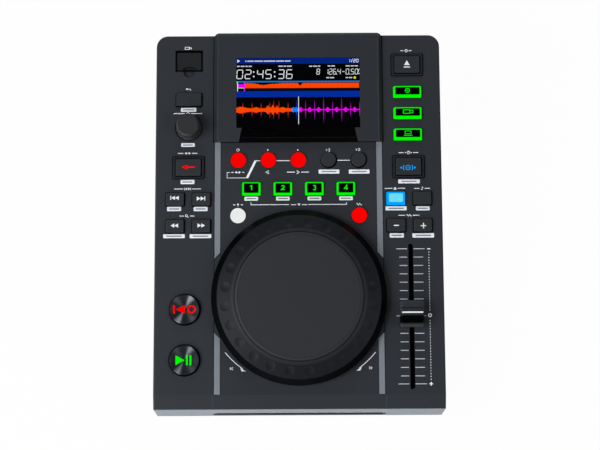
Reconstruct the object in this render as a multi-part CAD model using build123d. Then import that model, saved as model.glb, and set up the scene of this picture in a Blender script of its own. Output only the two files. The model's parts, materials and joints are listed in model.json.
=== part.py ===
from build123d import *
from math import atan2, cos, degrees, radians, sin, tan
import os

# Tabletop disc player for mixing.  X runs right, Y runs to the rear, Z runs up.
# The origin is the centre of the footprint, on the plane that the feet stand on.
# All sizes are millimetres.

# ---- case -------------------------------------------------------------------
case_width = 220.0
case_depth = 285.4
foot_height = 6.0
foot_radius = 10.0
foot_inset = 22.0
foot_hollow_radius = 5.0
foot_hollow_depth = 1.5
foot_bevel = 1.0
front_height = 35.0          # height of the front face, feet not counted
slope_run = 10.0             # front slope between the front face and the deck
slope_rise = 4.0
deck_angle = 8.0             # the deck climbs towards the rear
wall = 2.5
lip_height = 2.5             # dark lip above the fascia
fascia_thickness = 3.0
rear_corner = 9.0
edge_round = 1.4
tray_wall = 2.0
tray_rim = 8.0               # height of the tray's rim
parting_gap = 0.2
fit_gap = 0.3                # between neighbouring pieces that must go together
run_gap = 0.05               # radial gap of a shaft in its bearing

# ---- screws -----------------------------------------------------------------
column_radius = 3.4
column_inset = 8.5           # from the case side to the screw columns
screw_radius = 1.45
screw_head_radius = 2.8
screw_head_height = 1.6
screw_length = 14.0
front_screw_y = 24.0         # from the front face
rear_screw_y = 34.0          # from the rear face
middle_screw_y = 5.4
panel_screw_radius = 1.2
panel_screw_head_radius = 2.2
panel_screw_head_height = 1.3
panel_screw_length = 6.0
driver_slot_width = 0.8
driver_slot_depth = 0.6

# ---- control columns left and right -----------------------------------------
column_x_inset = 25.5        # from the case side to the centre of a control column
pair_pitch = 20.2
key_gap = 0.35               # between a key and its hole
key_rise = 1.8
key_corner = 0.8
key_top_round = 0.5
key_travel = 0.8
flange_width = 0.8
flange_thickness = 1.6
flange_gap = 0.3
stem_radius = 1.8
small_key_width = 13.8
small_key_depth = 9.8
back_key_width = 19.3
back_key_depth = 10.1
framed_key_width = 19.4
framed_key_depth = 13.1
source_key_width = 21.2
source_key_depth = 8.6
source_pitch = 16.8
bezel_width = 24.1
bezel_depth = 17.0
bezel_rise = 1.2
bezel_seat = 1.0
row_front_pair = 128.0       # rows measured along the deck from its front crease
row_rear_pair = 148.8
row_framed = 173.5
row_cue = 64.3
row_play = 26.1
rear_usb = 20.5              # rows measured from the rear end of the deck
rear_eject = 24.3
rear_source = 45.8
rear_back = 51.3
rear_browse = 73.2
round_column_shift = 2.1     # the two big round keys sit a little outboard
big_key_radius = 11.5
big_key_hole = 12.05
big_key_rise = 2.4
big_key_travel = 1.2
big_key_dish = 0.5

# ---- centre panel -----------------------------------------------------------
strip_width = 4.4
strip_seat = 1.2
strip_rise = 0.3
strip_break_row = 74.8       # middle of the break beside the wheel
strip_break_half = 28.0      # at a strip's outer edge; the ends are cut at 45 degrees
row_loop = 179.2
row_hot_cue = 156.7
row_shift = 136.1
loop_inset = 15.85           # from a trim strip to the outermost loop key
hot_cue_inset = 25.8
shift_inset = 15.6
round_key_radius = 5.6
round_key_rise = 1.6
hot_cue_width = 13.5
hot_cue_depth = 9.7

# ---- jog wheel --------------------------------------------------------------
row_jog = 73.1
jog_radius = 66.4
jog_overlap = 4.35           # the wheel reaches past the middle of the trim strips
jog_float = 1.0              # gap between wheel and deck
jog_height = 14.0
jog_shoulder = 4.5           # width of the dark outer bevel
jog_bevel_drop = 5.0
jog_plate_radius = 48.7
jog_plate_thickness = 2.0
jog_plate_bevel = 2.2
jog_plate_bevel_drop = 0.5
jog_skin = 2.5
jog_cone_drop = 4.0
dimple_count = 24
dimple_radius = 3.9
dimple_depth = 0.4
dimple_ring = 56.0
jog_hub_radius = 11.0
jog_shaft_radius = 5.0
jog_shaft_end = 19.0
encoder_disc_radius = 17.0
encoder_disc_thickness = 0.8
encoder_disc_end = 1.0       # from the shaft's end to the disc
encoder_slot_width = 1.2
encoder_slot_length = 2.4
encoder_slot_inset = 2.0
bearing_flange_radius = 26.0
bearing_flange_thickness = 3.0
bearing_tube_radius = 9.0
bearing_bottom = 16.5
bearing_hole = 12.5

# ---- display ----------------------------------------------------------------
display_active_width = 95.4
display_active_depth = 55.4
rear_display = 46.7          # from the rear end of the deck to the screen's middle
module_width = 105.5
module_depth = 67.2
module_thickness = 3.0
module_tail = (24.0, 13.0, 2.5)   # width, depth and height of the connector under the panel
module_tail_offset = 18.5
glass_thickness = 1.5
glass_recess = 0.4
glass_margin = 2.5
surround_width = 130.0
surround_front = 84.8        # from the rear end of the deck to its front edge
surround_height = 3.5
surround_bevel = 2.6
surround_corner = 4.0
surround_front_bevel = 0.6
surround_overhang = 1.4      # past the rear end of the deck
strip_window_width = 87.0    # plain dark strip under the screen
strip_window_depth = 7.6
strip_window_margin = 0.3

# ---- browse knob ------------------------------------------------------------
knob_base_radius = 9.9
knob_top_radius = 8.6
knob_height = 11.4
knob_skirt_height = 1.4
knob_step = 0.4
knob_step_height = 1.0
knob_top_bevel = 1.0
knob_cap = 2.0               # thickness over the plunger
knob_well_radius = 10.6
knob_well_depth = 1.3
plunger_radius = 3.0
plunger_travel = 0.6
bush_radius = 4.4
encoder_width = 13.0
encoder_height = 7.0

# ---- pitch fader ------------------------------------------------------------
fader_x_inset = 25.0
row_fader = 58.8
fader_travel = 50.0          # each way from the middle
fader_slot_width = 3.2
fader_slot_length = 110.0
fader_body_width = 13.0
fader_body_length = 116.0
fader_body_height = 10.0
fader_stem_width = 2.0
fader_stem_length = 4.0
fader_carriage_width = 6.6
fader_carriage_length = 8.0
fader_carriage_height = 4.0
fader_cavity_gap = 0.4
fader_floor = 2.0
cap_width = 18.2
cap_length = 19.9
cap_height = 8.0
cap_ridge_height = 3.6
cap_ridge_length = 5.0
cap_float = 1.0
cap_corner = 2.0
cap_bevel = 1.5
cap_ridge_root = 0.5
cap_behind = 1.2             # the cap rests this far behind the middle of the scale

# ---- control boards ---------------------------------------------------------
board_depth_below = 12.4     # from the deck's top to the boards' top
board_thickness = 1.6
switch_width = 6.0
switch_height = 3.3
switch_button_radius = 1.6
switch_button_height = 0.7
board_boss_radius = 2.4
board_inner = 44.5           # from the case side to the inner edge of a side board
board_outer = 5.5
left_board_front = 14.0
right_board_front = 118.0
left_board_rear = 39.9       # from the rear end of the deck
right_board_rear = 13.9
centre_board_front = 126.0
centre_board_rear = 190.0
centre_board_inset = 4.0     # from a trim strip's middle to the board's edge

# ---- stick socket and its lid -----------------------------------------------
lid_width = 20.8
lid_depth = 16.5
lid_gap = 0.35
lid_thickness = 2.0
lid_axis_depth = 1.2
lid_pin_radius = 0.6
lid_pin_length = 1.0
lid_hole_depth = 2.6
lid_notch_width = 9.0
lid_notch_depth = 1.6
lid_notch_cut = 1.4
lid_notch_reach = 2.4
well_wall = 2.0
well_width = 17.0
well_depth = 11.6
well_bottom = 13.0
socket_width = 13.1
socket_depth = 5.7
socket_wall = 0.4
socket_top = 4.2
socket_board_top = 17.4
socket_tongue_thickness = 1.84
socket_tongue_width = 11.1

# ---- disc drive -------------------------------------------------------------
slot_width = 127.0
slot_height = 5.6
slot_centre_z = 15.6
window_width = 133.0
window_height = 14.4
window_slant = 3.0
window_setback = 0.2         # slot plate behind the front face
drive_width = 146.0
drive_depth = 142.0
drive_set_back = 8.0         # behind the front face
drive_sheet = 1.0
drive_floor_z = 9.0
drive_roof_z = 24.0
disc_radius = 60.0
disc_park = 13.0             # front edge of a loaded disc behind the front face
bay_top = 18.1
bay_bottom = 13.5
motor_radius = 11.0
motor_height = 1.6
turntable_radius = 14.0
turntable_thickness = 0.6
spindle_radius = 0.75
hub_radius = 7.3
clamp_neck_radius = 12.0
clamp_pad_radius = 11.5
clamp_pad_bevel = 1.4
clamp_clear = 0.1            # over the disc's path
clamp_recess = 1.0
clamp_flange_radius = 16.0
clamp_flange_thickness = 1.2
roller_radius = 1.5
roller_shaft_radius = 0.8
roller_length = 118.0
roller_set_back = 6.0        # behind the drive's front edge
sled_rod_x = 20.0
sled_rod_radius = 1.0
sled_rod_height = 1.9        # over the drive's floor
sled_post_wall = 1.4
sled_screw_x = 27.0
sled_screw_radius = 1.0
sled_gear_radius = 1.8
sled_gear_length = 3.0
sled_length = 13.0
sled_thickness = 2.6
sled_inner_radius = 24.0
sled_travel = 34.0
sled_end_block = 4.0
sled_finger_width = 4.4
sled_finger_length = 4.0
sled_side = 1.2
lens_radius = 2.0

# ---- rear panel -------------------------------------------------------------
panel_width = 188.0          # clear width of the recess
panel_bottom_z = 18.0
panel_height = 36.0
panel_recess = 9.0
panel_sheet = 2.0
panel_frame = 4.0
phono_x = (-6.0, 12.0, 34.0)  # two line outputs and one digital output
jack_x = 52.0                # remote start
link_x = 72.0                # computer socket
inlet_x = -76.0              # mains inlet
rocker_x = -44.0             # mains switch
phono_radius = 4.15
phono_bore = 1.6
phono_reach = 8.3
phono_block = 12.0
phono_foot = 1.0             # narrower foot of the barrel, next to the panel
phono_foot_radius = 3.9
jack_radius = 3.9
jack_bore = 1.8
jack_reach = 3.0
rocker_width = 10.4
rocker_radius = 8.2
rocker_throw = 20.0
rocker_pin_radius = 1.0
rocker_wall = 2.2
rocker_axis_depth = 2.0      # behind the panel's outer face
rocker_face = 3.1            # from the pivot to the rocker's face
inlet_cavity_width = 14.0
inlet_cavity_height = 7.4
inlet_cavity_depth = 11.0
inlet_pin_radius = 1.2
inlet_pin_pitch = 8.6
inlet_wall = 3.0
link_width = 12.0
link_height = 11.0
link_cavity = 8.6
link_cavity_depth = 9.0
link_tongue = 4.0
link_tongue_height = 3.2
connector_depth = 15.0
flange_sheet = 1.5

# ---- main board -------------------------------------------------------------
main_board_z = 14.0
main_board_width = 186.0
main_board_front = 16.0
main_board_rear = 116.0
tray_boss_radius = 3.6
board_blocks = (             # left x, front y, width, depth and height, from the board's front left corner
    (12.0, 20.0, 30.0, 32.0, 22.0),
    (50.0, 15.0, 4.0, 45.0, 20.0),
    (12.0, 65.0, 20.0, 18.0, 12.0),
    (97.0, 40.0, 20.0, 20.0, 1.6),
    (132.0, 58.0, 14.0, 14.0, 1.6),
    (136.0, 25.0, 10.0, 10.0, 1.6),
    (161.0, 46.0, 8.0, 8.0, 1.6),
)
board_cans = ((63.0, 30.0), (63.0, 55.0), (77.0, 30.0))
can_radius = 5.5
can_height = 18.0

# ---- worked out -------------------------------------------------------------
half_width = case_width / 2
front_y = -case_depth / 2
rear_y = case_depth / 2
body_front_y = front_y + fascia_thickness
base_z = foot_height
lip_z = base_z + front_height
crease_y = front_y + slope_run
crease_z = lip_z + slope_rise
floor_z = base_z + tray_wall
rim_z = base_z + tray_rim
slope = radians(deck_angle)
deck_length = (rear_y - crease_y) / cos(slope)
front_slope_angle = degrees(atan2(slope_rise, slope_run))
deck = Plane(origin=(0, crease_y, crease_z), x_dir=(1, 0, 0), z_dir=(0, -sin(slope), cos(slope)))
front_slope = deck.rotated((front_slope_angle - deck_angle, 0, 0))
column_x = half_width - column_x_inset
strip_x = jog_radius - jog_overlap
fader_x = half_width - fader_x_inset
screw_x = half_width - column_inset
row_usb = deck_length - rear_usb
row_eject = deck_length - rear_eject
row_source = deck_length - rear_source
row_back = deck_length - rear_back
row_browse = deck_length - rear_browse
row_display = deck_length - rear_display
spindle_y = front_y + disc_park + disc_radius
big_key_x = -column_x - round_column_shift
panel_mid_z = panel_bottom_z + panel_height / 2
panel_outer_y = rear_y - panel_recess
panel_inner_y = panel_outer_y - panel_sheet

left_pair = (-column_x - pair_pitch / 2, -column_x + pair_pitch / 2)
right_pair = (column_x - pair_pitch / 2, column_x + pair_pitch / 2)
loop_outer = strip_x - loop_inset
hot_cue_outer = strip_x - hot_cue_inset
shift_x = strip_x - shift_inset

small = (small_key_width, small_key_depth)
framed = (framed_key_width, framed_key_depth)
source = (source_key_width, source_key_depth)
hot_cue = (hot_cue_width, hot_cue_depth)

# name: (x, row, (width, depth)) of each rectangular key
flat_keys = {
    "back_key": (-column_x, row_back, (back_key_width, back_key_depth)),
    "reverse_key": (-column_x, row_framed, framed),
    "track_back_key": (left_pair[0], row_rear_pair, small),
    "track_forward_key": (left_pair[1], row_rear_pair, small),
    "search_back_key": (left_pair[0], row_front_pair, small),
    "search_forward_key": (left_pair[1], row_front_pair, small),
    "eject_key": (column_x, row_eject, framed),
    "source_key_disc": (column_x, row_source, source),
    "source_key_stick": (column_x, row_source - source_pitch, source),
    "source_key_computer": (column_x, row_source - 2 * source_pitch, source),
    "jog_mode_key": (column_x, row_framed, framed),
    "key_lock_key": (right_pair[0], row_rear_pair, small),
    "tap_key": (right_pair[1], row_rear_pair, small),
    "bend_minus_key": (right_pair[0], row_front_pair, small),
    "bend_plus_key": (right_pair[1], row_front_pair, small),
}
for number in range(4):
    flat_keys[f"hot_cue_key_{number + 1}"] = (
        hot_cue_outer * (2 * number / 3 - 1),
        row_hot_cue,
        hot_cue,
    )

# name: (x, row) of each small round key
round_keys = {"shift_key": (-shift_x, row_shift), "slip_key": (shift_x, row_shift)}
for number, name in enumerate(("auto", "in", "out", "half", "double")):
    round_keys[f"loop_{name}_key"] = (loop_outer * (number / 2 - 1), row_loop)

big_keys = {"cue_key": (big_key_x, row_cue), "play_key": (big_key_x, row_play)}
framed_places = [(-column_x, row_framed), (column_x, row_eject), (column_x, row_framed)]


def block(x0, x1, y0, y1, z0, z1):
    """Box between two corners."""
    middle = Pos((x0 + x1) / 2, (y0 + y1) / 2, (z0 + z1) / 2)
    return middle * Box(x1 - x0, y1 - y0, z1 - z0)


def slab(x, y, width, depth, z0, z1, corner):
    """Flat rounded-rectangle plate between two heights."""
    outline = Pos(x, y, z0) * RectangleRounded(width, depth, corner)
    return extrude(outline, z1 - z0)


def disc(x, y, radius, z0, z1):
    """Upright cylinder between two heights."""
    return Pos(x, y, (z0 + z1) / 2) * Cylinder(radius, z1 - z0)


def rod_x(x0, x1, y, z, radius):
    """Cylinder along X."""
    return Pos((x0 + x1) / 2, y, z) * Rot(0, 90, 0) * Cylinder(radius, x1 - x0)


def rod_y(x, y0, y1, z, radius):
    """Cylinder along Y."""
    return Pos(x, (y0 + y1) / 2, z) * Rot(90, 0, 0) * Cylinder(radius, y1 - y0)


def turned(profile):
    """Solid of revolution about Z from a closed list of (radius, height) points."""
    face = make_face(Plane.XZ * Polyline(*profile, close=True))
    return revolve(face, Axis.Z)


def on_deck(shape):
    """Moves a shape from deck coordinates (x, distance from the crease, height) into place."""
    return shape.moved(deck.location)


def plan(inset, front):
    """Plan outline of the case: square in front, rounded at the two rear corners."""
    depth = rear_y - inset - front
    outline = Pos(0, front + depth / 2) * Rectangle(case_width - 2 * inset, depth)
    return fillet(outline.vertices().group_by(Axis.Y)[-1], rear_corner - inset)


def below_deck(drop):
    """Everything under the deck and the front slope, less a wall of the given thickness."""
    reach = 2 * (case_depth + case_width)
    under = block(-reach, reach, -reach, reach, -reach, -drop)
    return under.moved(deck.location) & under.moved(front_slope.location)


def save(name, shape):
    """Writes one piece to its own file."""
    shape.label = name
    export_step(shape, f"parts/{name}.step")


def group(solids):
    """Several separate solids kept under one name."""
    return Compound(children=list(solids))


# ---- case pieces ------------------------------------------------------------

def screw_places():
    """Plan positions of the six screws that close the case."""
    rows = (front_y + front_screw_y, middle_screw_y, rear_y - rear_screw_y)
    return [(side * screw_x, y) for side in (-1, 1) for y in rows]


def board_boss_places():
    """Deck positions of the posts that carry the control boards."""
    between_pairs = (row_front_pair + row_rear_pair) / 2
    behind_pairs = (row_rear_pair + row_framed) / 2
    beside_keys = [(x, row) for x in left_pair + right_pair for row in (between_pairs, behind_pairs)]
    between_rounds = (row_cue + row_play) / 2
    behind_framed = (row_framed + row_browse) / 2
    behind_sources = (row_source + row_eject) / 2
    in_columns = [(-column_x, between_rounds), (-column_x, behind_framed), (column_x, behind_sources)]
    outer = strip_x - centre_board_inset - board_boss_radius
    behind_jog = row_jog + jog_radius + board_boss_radius
    behind_hot_cues = (row_loop + row_hot_cue) / 2
    centre = [(-outer, row_hot_cue), (outer, row_hot_cue), (0, behind_jog), (0, behind_hot_cues)]
    return beside_keys + in_columns + centre


def make_top_cover():
    """Moulded upper shell: deck, front slope, lip, side walls and rear wall."""
    tall = crease_z + case_depth
    shell = extrude(plan(0, body_front_y), tall) - block(
        -case_width, case_width, -case_depth, case_depth, 0, rim_z + parting_gap
    )
    lip = block(-half_width, half_width, front_y, body_front_y + wall, lip_z - lip_height, tall)
    shell = (shell + lip) & below_deck(0)
    rim = [edge for edge in shell.edges() if is_top_rim(edge)]
    shell = fillet(rim, edge_round)
    cavity = extrude(plan(wall, body_front_y + wall), tall) & below_deck(wall)
    tray_door = block(
        wall - half_width, half_width - wall, front_y, body_front_y + 2 * wall, 0, window_top_z() + wall
    )
    columns = [disc(x, y, column_radius, floor_z, tall) for x, y in screw_places()]
    shell = shell - cavity - tray_door
    shell = shell + [column & below_deck(wall / 2) for column in columns]
    shell = shell + [on_deck(part) for part in deck_posts()]
    shell = shell - [on_deck(hole) for hole in deck_holes()]
    bores = [disc(x, y, screw_radius + run_gap, 0, floor_z + screw_length) for x, y in screw_places()]
    window = block(
        -panel_width / 2, panel_width / 2, rear_y - 2 * wall, rear_y + wall,
        panel_bottom_z, panel_bottom_z + panel_height,
    )
    heads = [
        rod_y(x, rear_y - panel_screw_head_height, rear_y + wall, z, panel_screw_head_radius + run_gap)
        for x, z in panel_screw_places()
    ]
    shanks = [
        rod_y(x, rear_y - 2 * wall, rear_y, z, panel_screw_radius + run_gap)
        for x, z in panel_screw_places()
    ]
    return shell - bores - window - heads - shanks


def is_top_rim(edge):
    """True for the edges where the deck and front slope meet the sides and the rear."""
    middle = edge.center()
    at_side = abs(abs(middle.X) - half_width) < 0.01 and edge.length > slope_run / 2
    ends = [vertex.Z for vertex in edge.vertices()]
    high = min(ends) > lip_z - 0.01 and middle.Y < rear_y - 0.01
    top_line = crease_z + (middle.Y - crease_y) * tan(slope)
    on_top = middle.Z > top_line - 0.5
    at_rear = middle.Y > rear_y - rear_corner and middle.Z > top_line - 0.5
    return (at_side and high) or (at_rear and on_top)


def window_top_z():
    """Height of the top of the fascia's window."""
    return base_z + window_height


def panel_screw_places():
    """Positions (x, z) of the four screws that hold the rear panel."""
    x = panel_width / 2 + panel_frame / 2
    z_low = panel_bottom_z + panel_frame
    z_high = panel_bottom_z + panel_height - panel_frame
    return [(-x, z_low), (x, z_low), (-x, z_high), (x, z_high)]


def deck_posts():
    """Posts and well walls that hang under the deck, in deck coordinates."""
    posts = [
        disc(x, row, board_boss_radius, -board_depth_below, -wall / 2)
        for x, row in board_boss_places()
    ]
    outer_width = lid_width + 2 * (lid_gap + lid_pin_length + 1)
    outer_depth = lid_depth + 2 * (lid_gap + well_wall)
    posts.append(slab(-column_x, row_usb, outer_width, outer_depth, -well_bottom, -wall / 2, 1))
    for side in (-1, 1):
        x = -column_x + side * (well_width / 2 + well_wall)
        posts.append(disc(x, row_usb, well_wall, -socket_board_top, -well_bottom + 1))
    return posts


def strip_break(side, gap):
    """Wedge that is missing from a trim strip beside the wheel; its ends are cut at 45 degrees."""
    inner = strip_x - strip_width
    outer = strip_x + strip_width
    half_inner = strip_break_half + gap + 1.5 * strip_width
    half_outer = strip_break_half + gap - strip_width / 2
    outline = Polyline(
        (side * inner, strip_break_row - half_inner), (side * inner, strip_break_row + half_inner),
        (side * outer, strip_break_row + half_outer), (side * outer, strip_break_row - half_outer),
        close=True,
    )
    return Pos(0, 0, -wall) * extrude(make_face(outline), 2 * wall + strip_rise, dir=(0, 0, 1))


def deck_holes():
    """Everything cut through or into the deck, in deck coordinates."""
    holes = []
    for x, row, (width, depth) in flat_keys.values():
        holes.append(slab(x, row, width + 2 * key_gap, depth + 2 * key_gap, -2 * wall, wall, key_corner))
    for x, row in round_keys.values():
        holes.append(disc(x, row, round_key_radius + key_gap, -2 * wall, wall))
    for x, row in big_keys.values():
        holes.append(disc(x, row, big_key_hole, -2 * wall, wall))
    for x, row in framed_places:
        width = bezel_width + 2 * key_gap
        depth = bezel_depth + 2 * key_gap
        holes.append(slab(x, row, width, depth, -bezel_seat, wall, key_corner))
    for side in (-1, 1):
        rear = deck_length - surround_front
        seat = block(
            side * strip_x - strip_width / 2, side * strip_x + strip_width / 2,
            -fit_gap, rear, -strip_seat, wall,
        )
        holes.extend((seat - strip_break(side, 0)).solids())
    holes.append(disc(0, row_jog, bearing_hole, -2 * wall, wall))
    holes.append(
        slab(0, row_display, module_width + 2 * fit_gap, module_depth + 2 * fit_gap, -2 * wall, wall, 1)
    )
    holes.append(disc(-column_x, row_browse, knob_well_radius, -knob_well_depth, wall))
    holes.append(disc(-column_x, row_browse, bush_radius + fit_gap, -2 * wall, wall))
    holes.append(slab(fader_x, row_fader, fader_slot_width, fader_slot_length, -2 * wall, wall, 1))
    holes.append(
        slab(
            -column_x, row_usb, lid_width + 2 * lid_gap, lid_depth + 2 * lid_gap,
            -lid_hole_depth, wall, key_corner,
        )
    )
    holes.append(slab(-column_x, row_usb, well_width, well_depth, -2 * well_bottom, wall, key_corner))
    notch = Pos(-column_x, row_usb - lid_depth / 2 - lid_gap, 0) * Cylinder(
        lid_notch_width / 2, 2 * lid_notch_depth
    )
    holes.append(notch)
    reach = lid_width / 2 + lid_pin_length + fit_gap
    holes.append(
        rod_x(-column_x - reach, -column_x + reach, lid_axis_row(), -lid_axis_depth, lid_pin_radius + run_gap)
    )
    return holes


def lid_axis_row():
    """Row of the lid's hinge, close to its rear edge."""
    return row_usb + lid_depth / 2 - lid_axis_depth


def make_bottom_tray():
    """Lower shell: floor, rim, front upstand with the disc slot, and standoffs."""
    outer = extrude(plan(0, body_front_y), rim_z) - block(
        -case_width, case_width, -case_depth, case_depth, -wall, base_z
    )
    hollow = extrude(plan(tray_wall, body_front_y + tray_wall), rim_z + wall) - block(
        -case_width, case_width, -case_depth, case_depth, -wall, floor_z
    )
    upstand_half = half_width - wall - fit_gap
    upstand_top = window_top_z() + wall - fit_gap
    upstand = block(
        -upstand_half, upstand_half, body_front_y, body_front_y + tray_wall, floor_z, upstand_top
    )
    tray = (outer - hollow) + upstand + slot_plate(fit_gap, 0, front_y + window_setback, body_front_y + 1)
    bosses = [
        disc(x, y, tray_boss_radius, floor_z - tray_wall / 2, main_board_z) for x, y in main_board_corners()
    ]
    pads = [
        disc(x, y, tray_boss_radius, floor_z - tray_wall / 2, drive_floor_z) for x, y in drive_corners()
    ]
    tray = tray + bosses + pads
    slot = block(
        -slot_width / 2, slot_width / 2, front_y, body_front_y + 2 * tray_wall,
        slot_centre_z - slot_height / 2, slot_centre_z + slot_height / 2,
    )
    head_holes = [disc(x, y, screw_head_radius + fit_gap, 0, floor_z) for x, y in screw_places()]
    return tray - slot - head_holes


def main_board_corners():
    """Plan positions of the main board's four standoffs."""
    x = main_board_width / 2 - 2 * tray_boss_radius
    rows = (main_board_front + 2 * tray_boss_radius, main_board_rear - 2 * tray_boss_radius)
    return [(side * x, y) for side in (-1, 1) for y in rows]


def drive_corners():
    """Plan positions of the pads under the disc drive."""
    x = drive_width / 2 - 2 * tray_boss_radius
    front = front_y + drive_set_back + 2 * tray_boss_radius
    rear = front_y + drive_set_back + drive_depth - 2 * tray_boss_radius
    return [(side * x, y) for side in (-1, 1) for y in (front, rear)]


def make_front_fascia():
    """Pale front plate with a wide window in front of the disc slot."""
    top = lip_z - lip_height
    plate = block(-half_width, half_width, front_y, body_front_y, base_z, top)
    return plate - slot_plate(0, -wall, front_y - 1, body_front_y + 1)


def slot_plate(inset, low, y0, y1):
    """Plate with slanted upper corners that fills the fascia's window, less an inset."""
    high = window_top_z() - inset
    half = window_width / 2 - inset
    outline = Polyline(
        (-half, base_z + low), (half, base_z + low), (half, high - window_slant),
        (half - window_slant, high), (window_slant - half, high), (-half, high - window_slant),
        close=True,
    )
    face = Pos(0, y1, 0) * make_face(Plane.XZ * outline)
    return extrude(face, y1 - y0)


def make_rear_panel():
    """Recessed tray that carries the sockets, screwed behind the rear wall."""
    x = panel_width / 2
    low = panel_bottom_z
    high = panel_bottom_z + panel_height
    shell = block(
        -x - panel_frame, x + panel_frame, panel_inner_y, rear_y - wall,
        low - panel_frame, high + panel_frame,
    )
    shell = shell - block(-x, x, panel_outer_y, rear_y, low, high)
    holes = [
        rod_y(px, rear_y - wall - panel_screw_length, rear_y, z, panel_screw_radius + run_gap)
        for px, z in panel_screw_places()
    ]
    inside = panel_inner_y - 1
    outside = panel_outer_y + 1
    for px in phono_x:
        holes.append(rod_y(px, inside, outside, panel_mid_z, phono_radius + fit_gap / 2))
    holes.append(rod_y(jack_x, inside, outside, panel_mid_z, jack_radius + fit_gap / 2))
    for px, width, height in square_connectors():
        holes.append(
            block(
                px - width / 2 - fit_gap / 2, px + width / 2 + fit_gap / 2, inside, outside,
                panel_mid_z - height / 2 - fit_gap / 2, panel_mid_z + height / 2 + fit_gap / 2,
            )
        )
    return shell - holes


def rocker_housing_size():
    """Outer width and height of the rocker's housing."""
    return rocker_width + 2 * fit_gap + 2 * rocker_wall, 2 * (rocker_radius + fit_gap + rocker_wall)


def inlet_size():
    """Outer width and height of the mains inlet."""
    return inlet_cavity_width + 2 * inlet_wall, inlet_cavity_height + 2 * inlet_wall


def square_connectors():
    """X, width and height of the sockets with a rectangular body."""
    return [
        (link_x, link_width, link_height),
        (inlet_x, *inlet_size()),
        (rocker_x, *rocker_housing_size()),
    ]


def make_rear_sockets():
    """Sockets on the rear panel, each a separate solid."""
    front = panel_inner_y
    solids = []
    for x in phono_x:
        body = block(
            x - phono_block / 2, x + phono_block / 2, front - connector_depth, front,
            panel_mid_z - phono_block / 2, panel_mid_z + phono_block / 2,
        )
        foot = rod_y(x, front - 1, panel_outer_y + phono_foot, panel_mid_z, phono_foot_radius)
        barrel = rod_y(
            x, panel_outer_y + phono_foot, panel_outer_y + phono_reach, panel_mid_z, phono_radius
        )
        bore = rod_y(x, front, panel_outer_y + phono_reach + 1, panel_mid_z, phono_bore)
        solids.append(body + foot + barrel - bore)
    body = block(
        jack_x - phono_block / 2, jack_x + phono_block / 2, front - connector_depth, front,
        panel_mid_z - phono_block / 2, panel_mid_z + phono_block / 2,
    )
    barrel = rod_y(jack_x, front - 1, panel_outer_y + jack_reach, panel_mid_z, jack_radius)
    bore = rod_y(
        jack_x, front - connector_depth / 2, panel_outer_y + 2 * jack_reach, panel_mid_z, jack_bore
    )
    solids.append(body + barrel - bore)
    for x, width, height in square_connectors():
        body = block(
            x - width / 2, x + width / 2, front - connector_depth, panel_outer_y,
            panel_mid_z - height / 2, panel_mid_z + height / 2,
        )
        rim = block(
            x - width / 2 - flange_sheet, x + width / 2 + flange_sheet,
            panel_outer_y, panel_outer_y + flange_sheet,
            panel_mid_z - height / 2 - flange_sheet, panel_mid_z + height / 2 + flange_sheet,
        )
        solids.append(body + rim)
    solids[4] = solids[4] - link_cavity_shape() + link_tongue_shape()
    solids[5] = solids[5] - inlet_cavity_shape() + inlet_pins()
    solids[6] = solids[6] - rocker_cavity_shape()
    return group(solids)


def link_cavity_shape():
    """Square well of the computer socket."""
    top = panel_outer_y + flange_sheet
    half = link_cavity / 2
    return block(
        link_x - half, link_x + half, top - link_cavity_depth, top + 1,
        panel_mid_z - half, panel_mid_z + half,
    )


def link_tongue_shape():
    """Contact tongue inside the computer socket."""
    top = panel_outer_y + flange_sheet
    return block(
        link_x - link_tongue / 2, link_x + link_tongue / 2, top - link_cavity_depth - 1, top - 1,
        panel_mid_z - link_tongue_height / 2, panel_mid_z + link_tongue_height / 2,
    )


def inlet_cavity_shape():
    """Round-ended well of the mains inlet."""
    top = panel_outer_y + flange_sheet
    outline = Pos(inlet_x, panel_mid_z) * RectangleRounded(
        inlet_cavity_width, inlet_cavity_height, inlet_cavity_height / 2 - 0.1
    )
    well = extrude(outline, inlet_cavity_depth + 1)
    return Pos(0, top + 1, 0) * Rot(90, 0, 0) * well


def inlet_pins():
    """Two contact pins inside the mains inlet."""
    top = panel_outer_y + flange_sheet
    return [
        rod_y(
            inlet_x + side * inlet_pin_pitch / 2, top - inlet_cavity_depth - 1, top - 2,
            panel_mid_z, inlet_pin_radius,
        )
        for side in (-1, 1)
    ]


def rocker_axis_y():
    """Depth of the rocker's pivot."""
    return panel_outer_y - rocker_axis_depth


def rocker_cavity_shape():
    """Well that the rocker swings in, with its two pivot holes."""
    half = rocker_width / 2 + fit_gap
    tall = rocker_radius + fit_gap
    well = block(
        rocker_x - half, rocker_x + half, rocker_axis_y() - rocker_radius, rear_y,
        panel_mid_z - tall, panel_mid_z + tall,
    )
    reach = half + rocker_wall / 2 + fit_gap
    pivot = rod_x(
        rocker_x - reach, rocker_x + reach, rocker_axis_y(), panel_mid_z, rocker_pin_radius + run_gap
    )
    return well + pivot


def make_power_rocker():
    """Rocker of the mains switch, lying at one end of its throw."""
    tilt = tan(radians(rocker_throw / 2))
    outline = Polyline(
        (-rocker_face, -rocker_radius), (-rocker_face, rocker_radius),
        (rocker_face + rocker_radius * tilt, rocker_radius), (rocker_face, 0),
        (rocker_face + rocker_radius * tilt, -rocker_radius), close=True,
    )
    wedge = extrude(make_face(Plane.YZ * outline), rocker_width / 2, both=True)
    drum = Rot(0, 90, 0) * Cylinder(rocker_radius, rocker_width)
    reach = rocker_width / 2 + fit_gap + rocker_wall / 2
    rocker = (wedge & drum) + rod_x(-reach, reach, 0, 0, rocker_pin_radius)
    return Pos(rocker_x, rocker_axis_y(), panel_mid_z) * Rot(-rocker_throw / 2, 0, 0) * rocker


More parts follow.
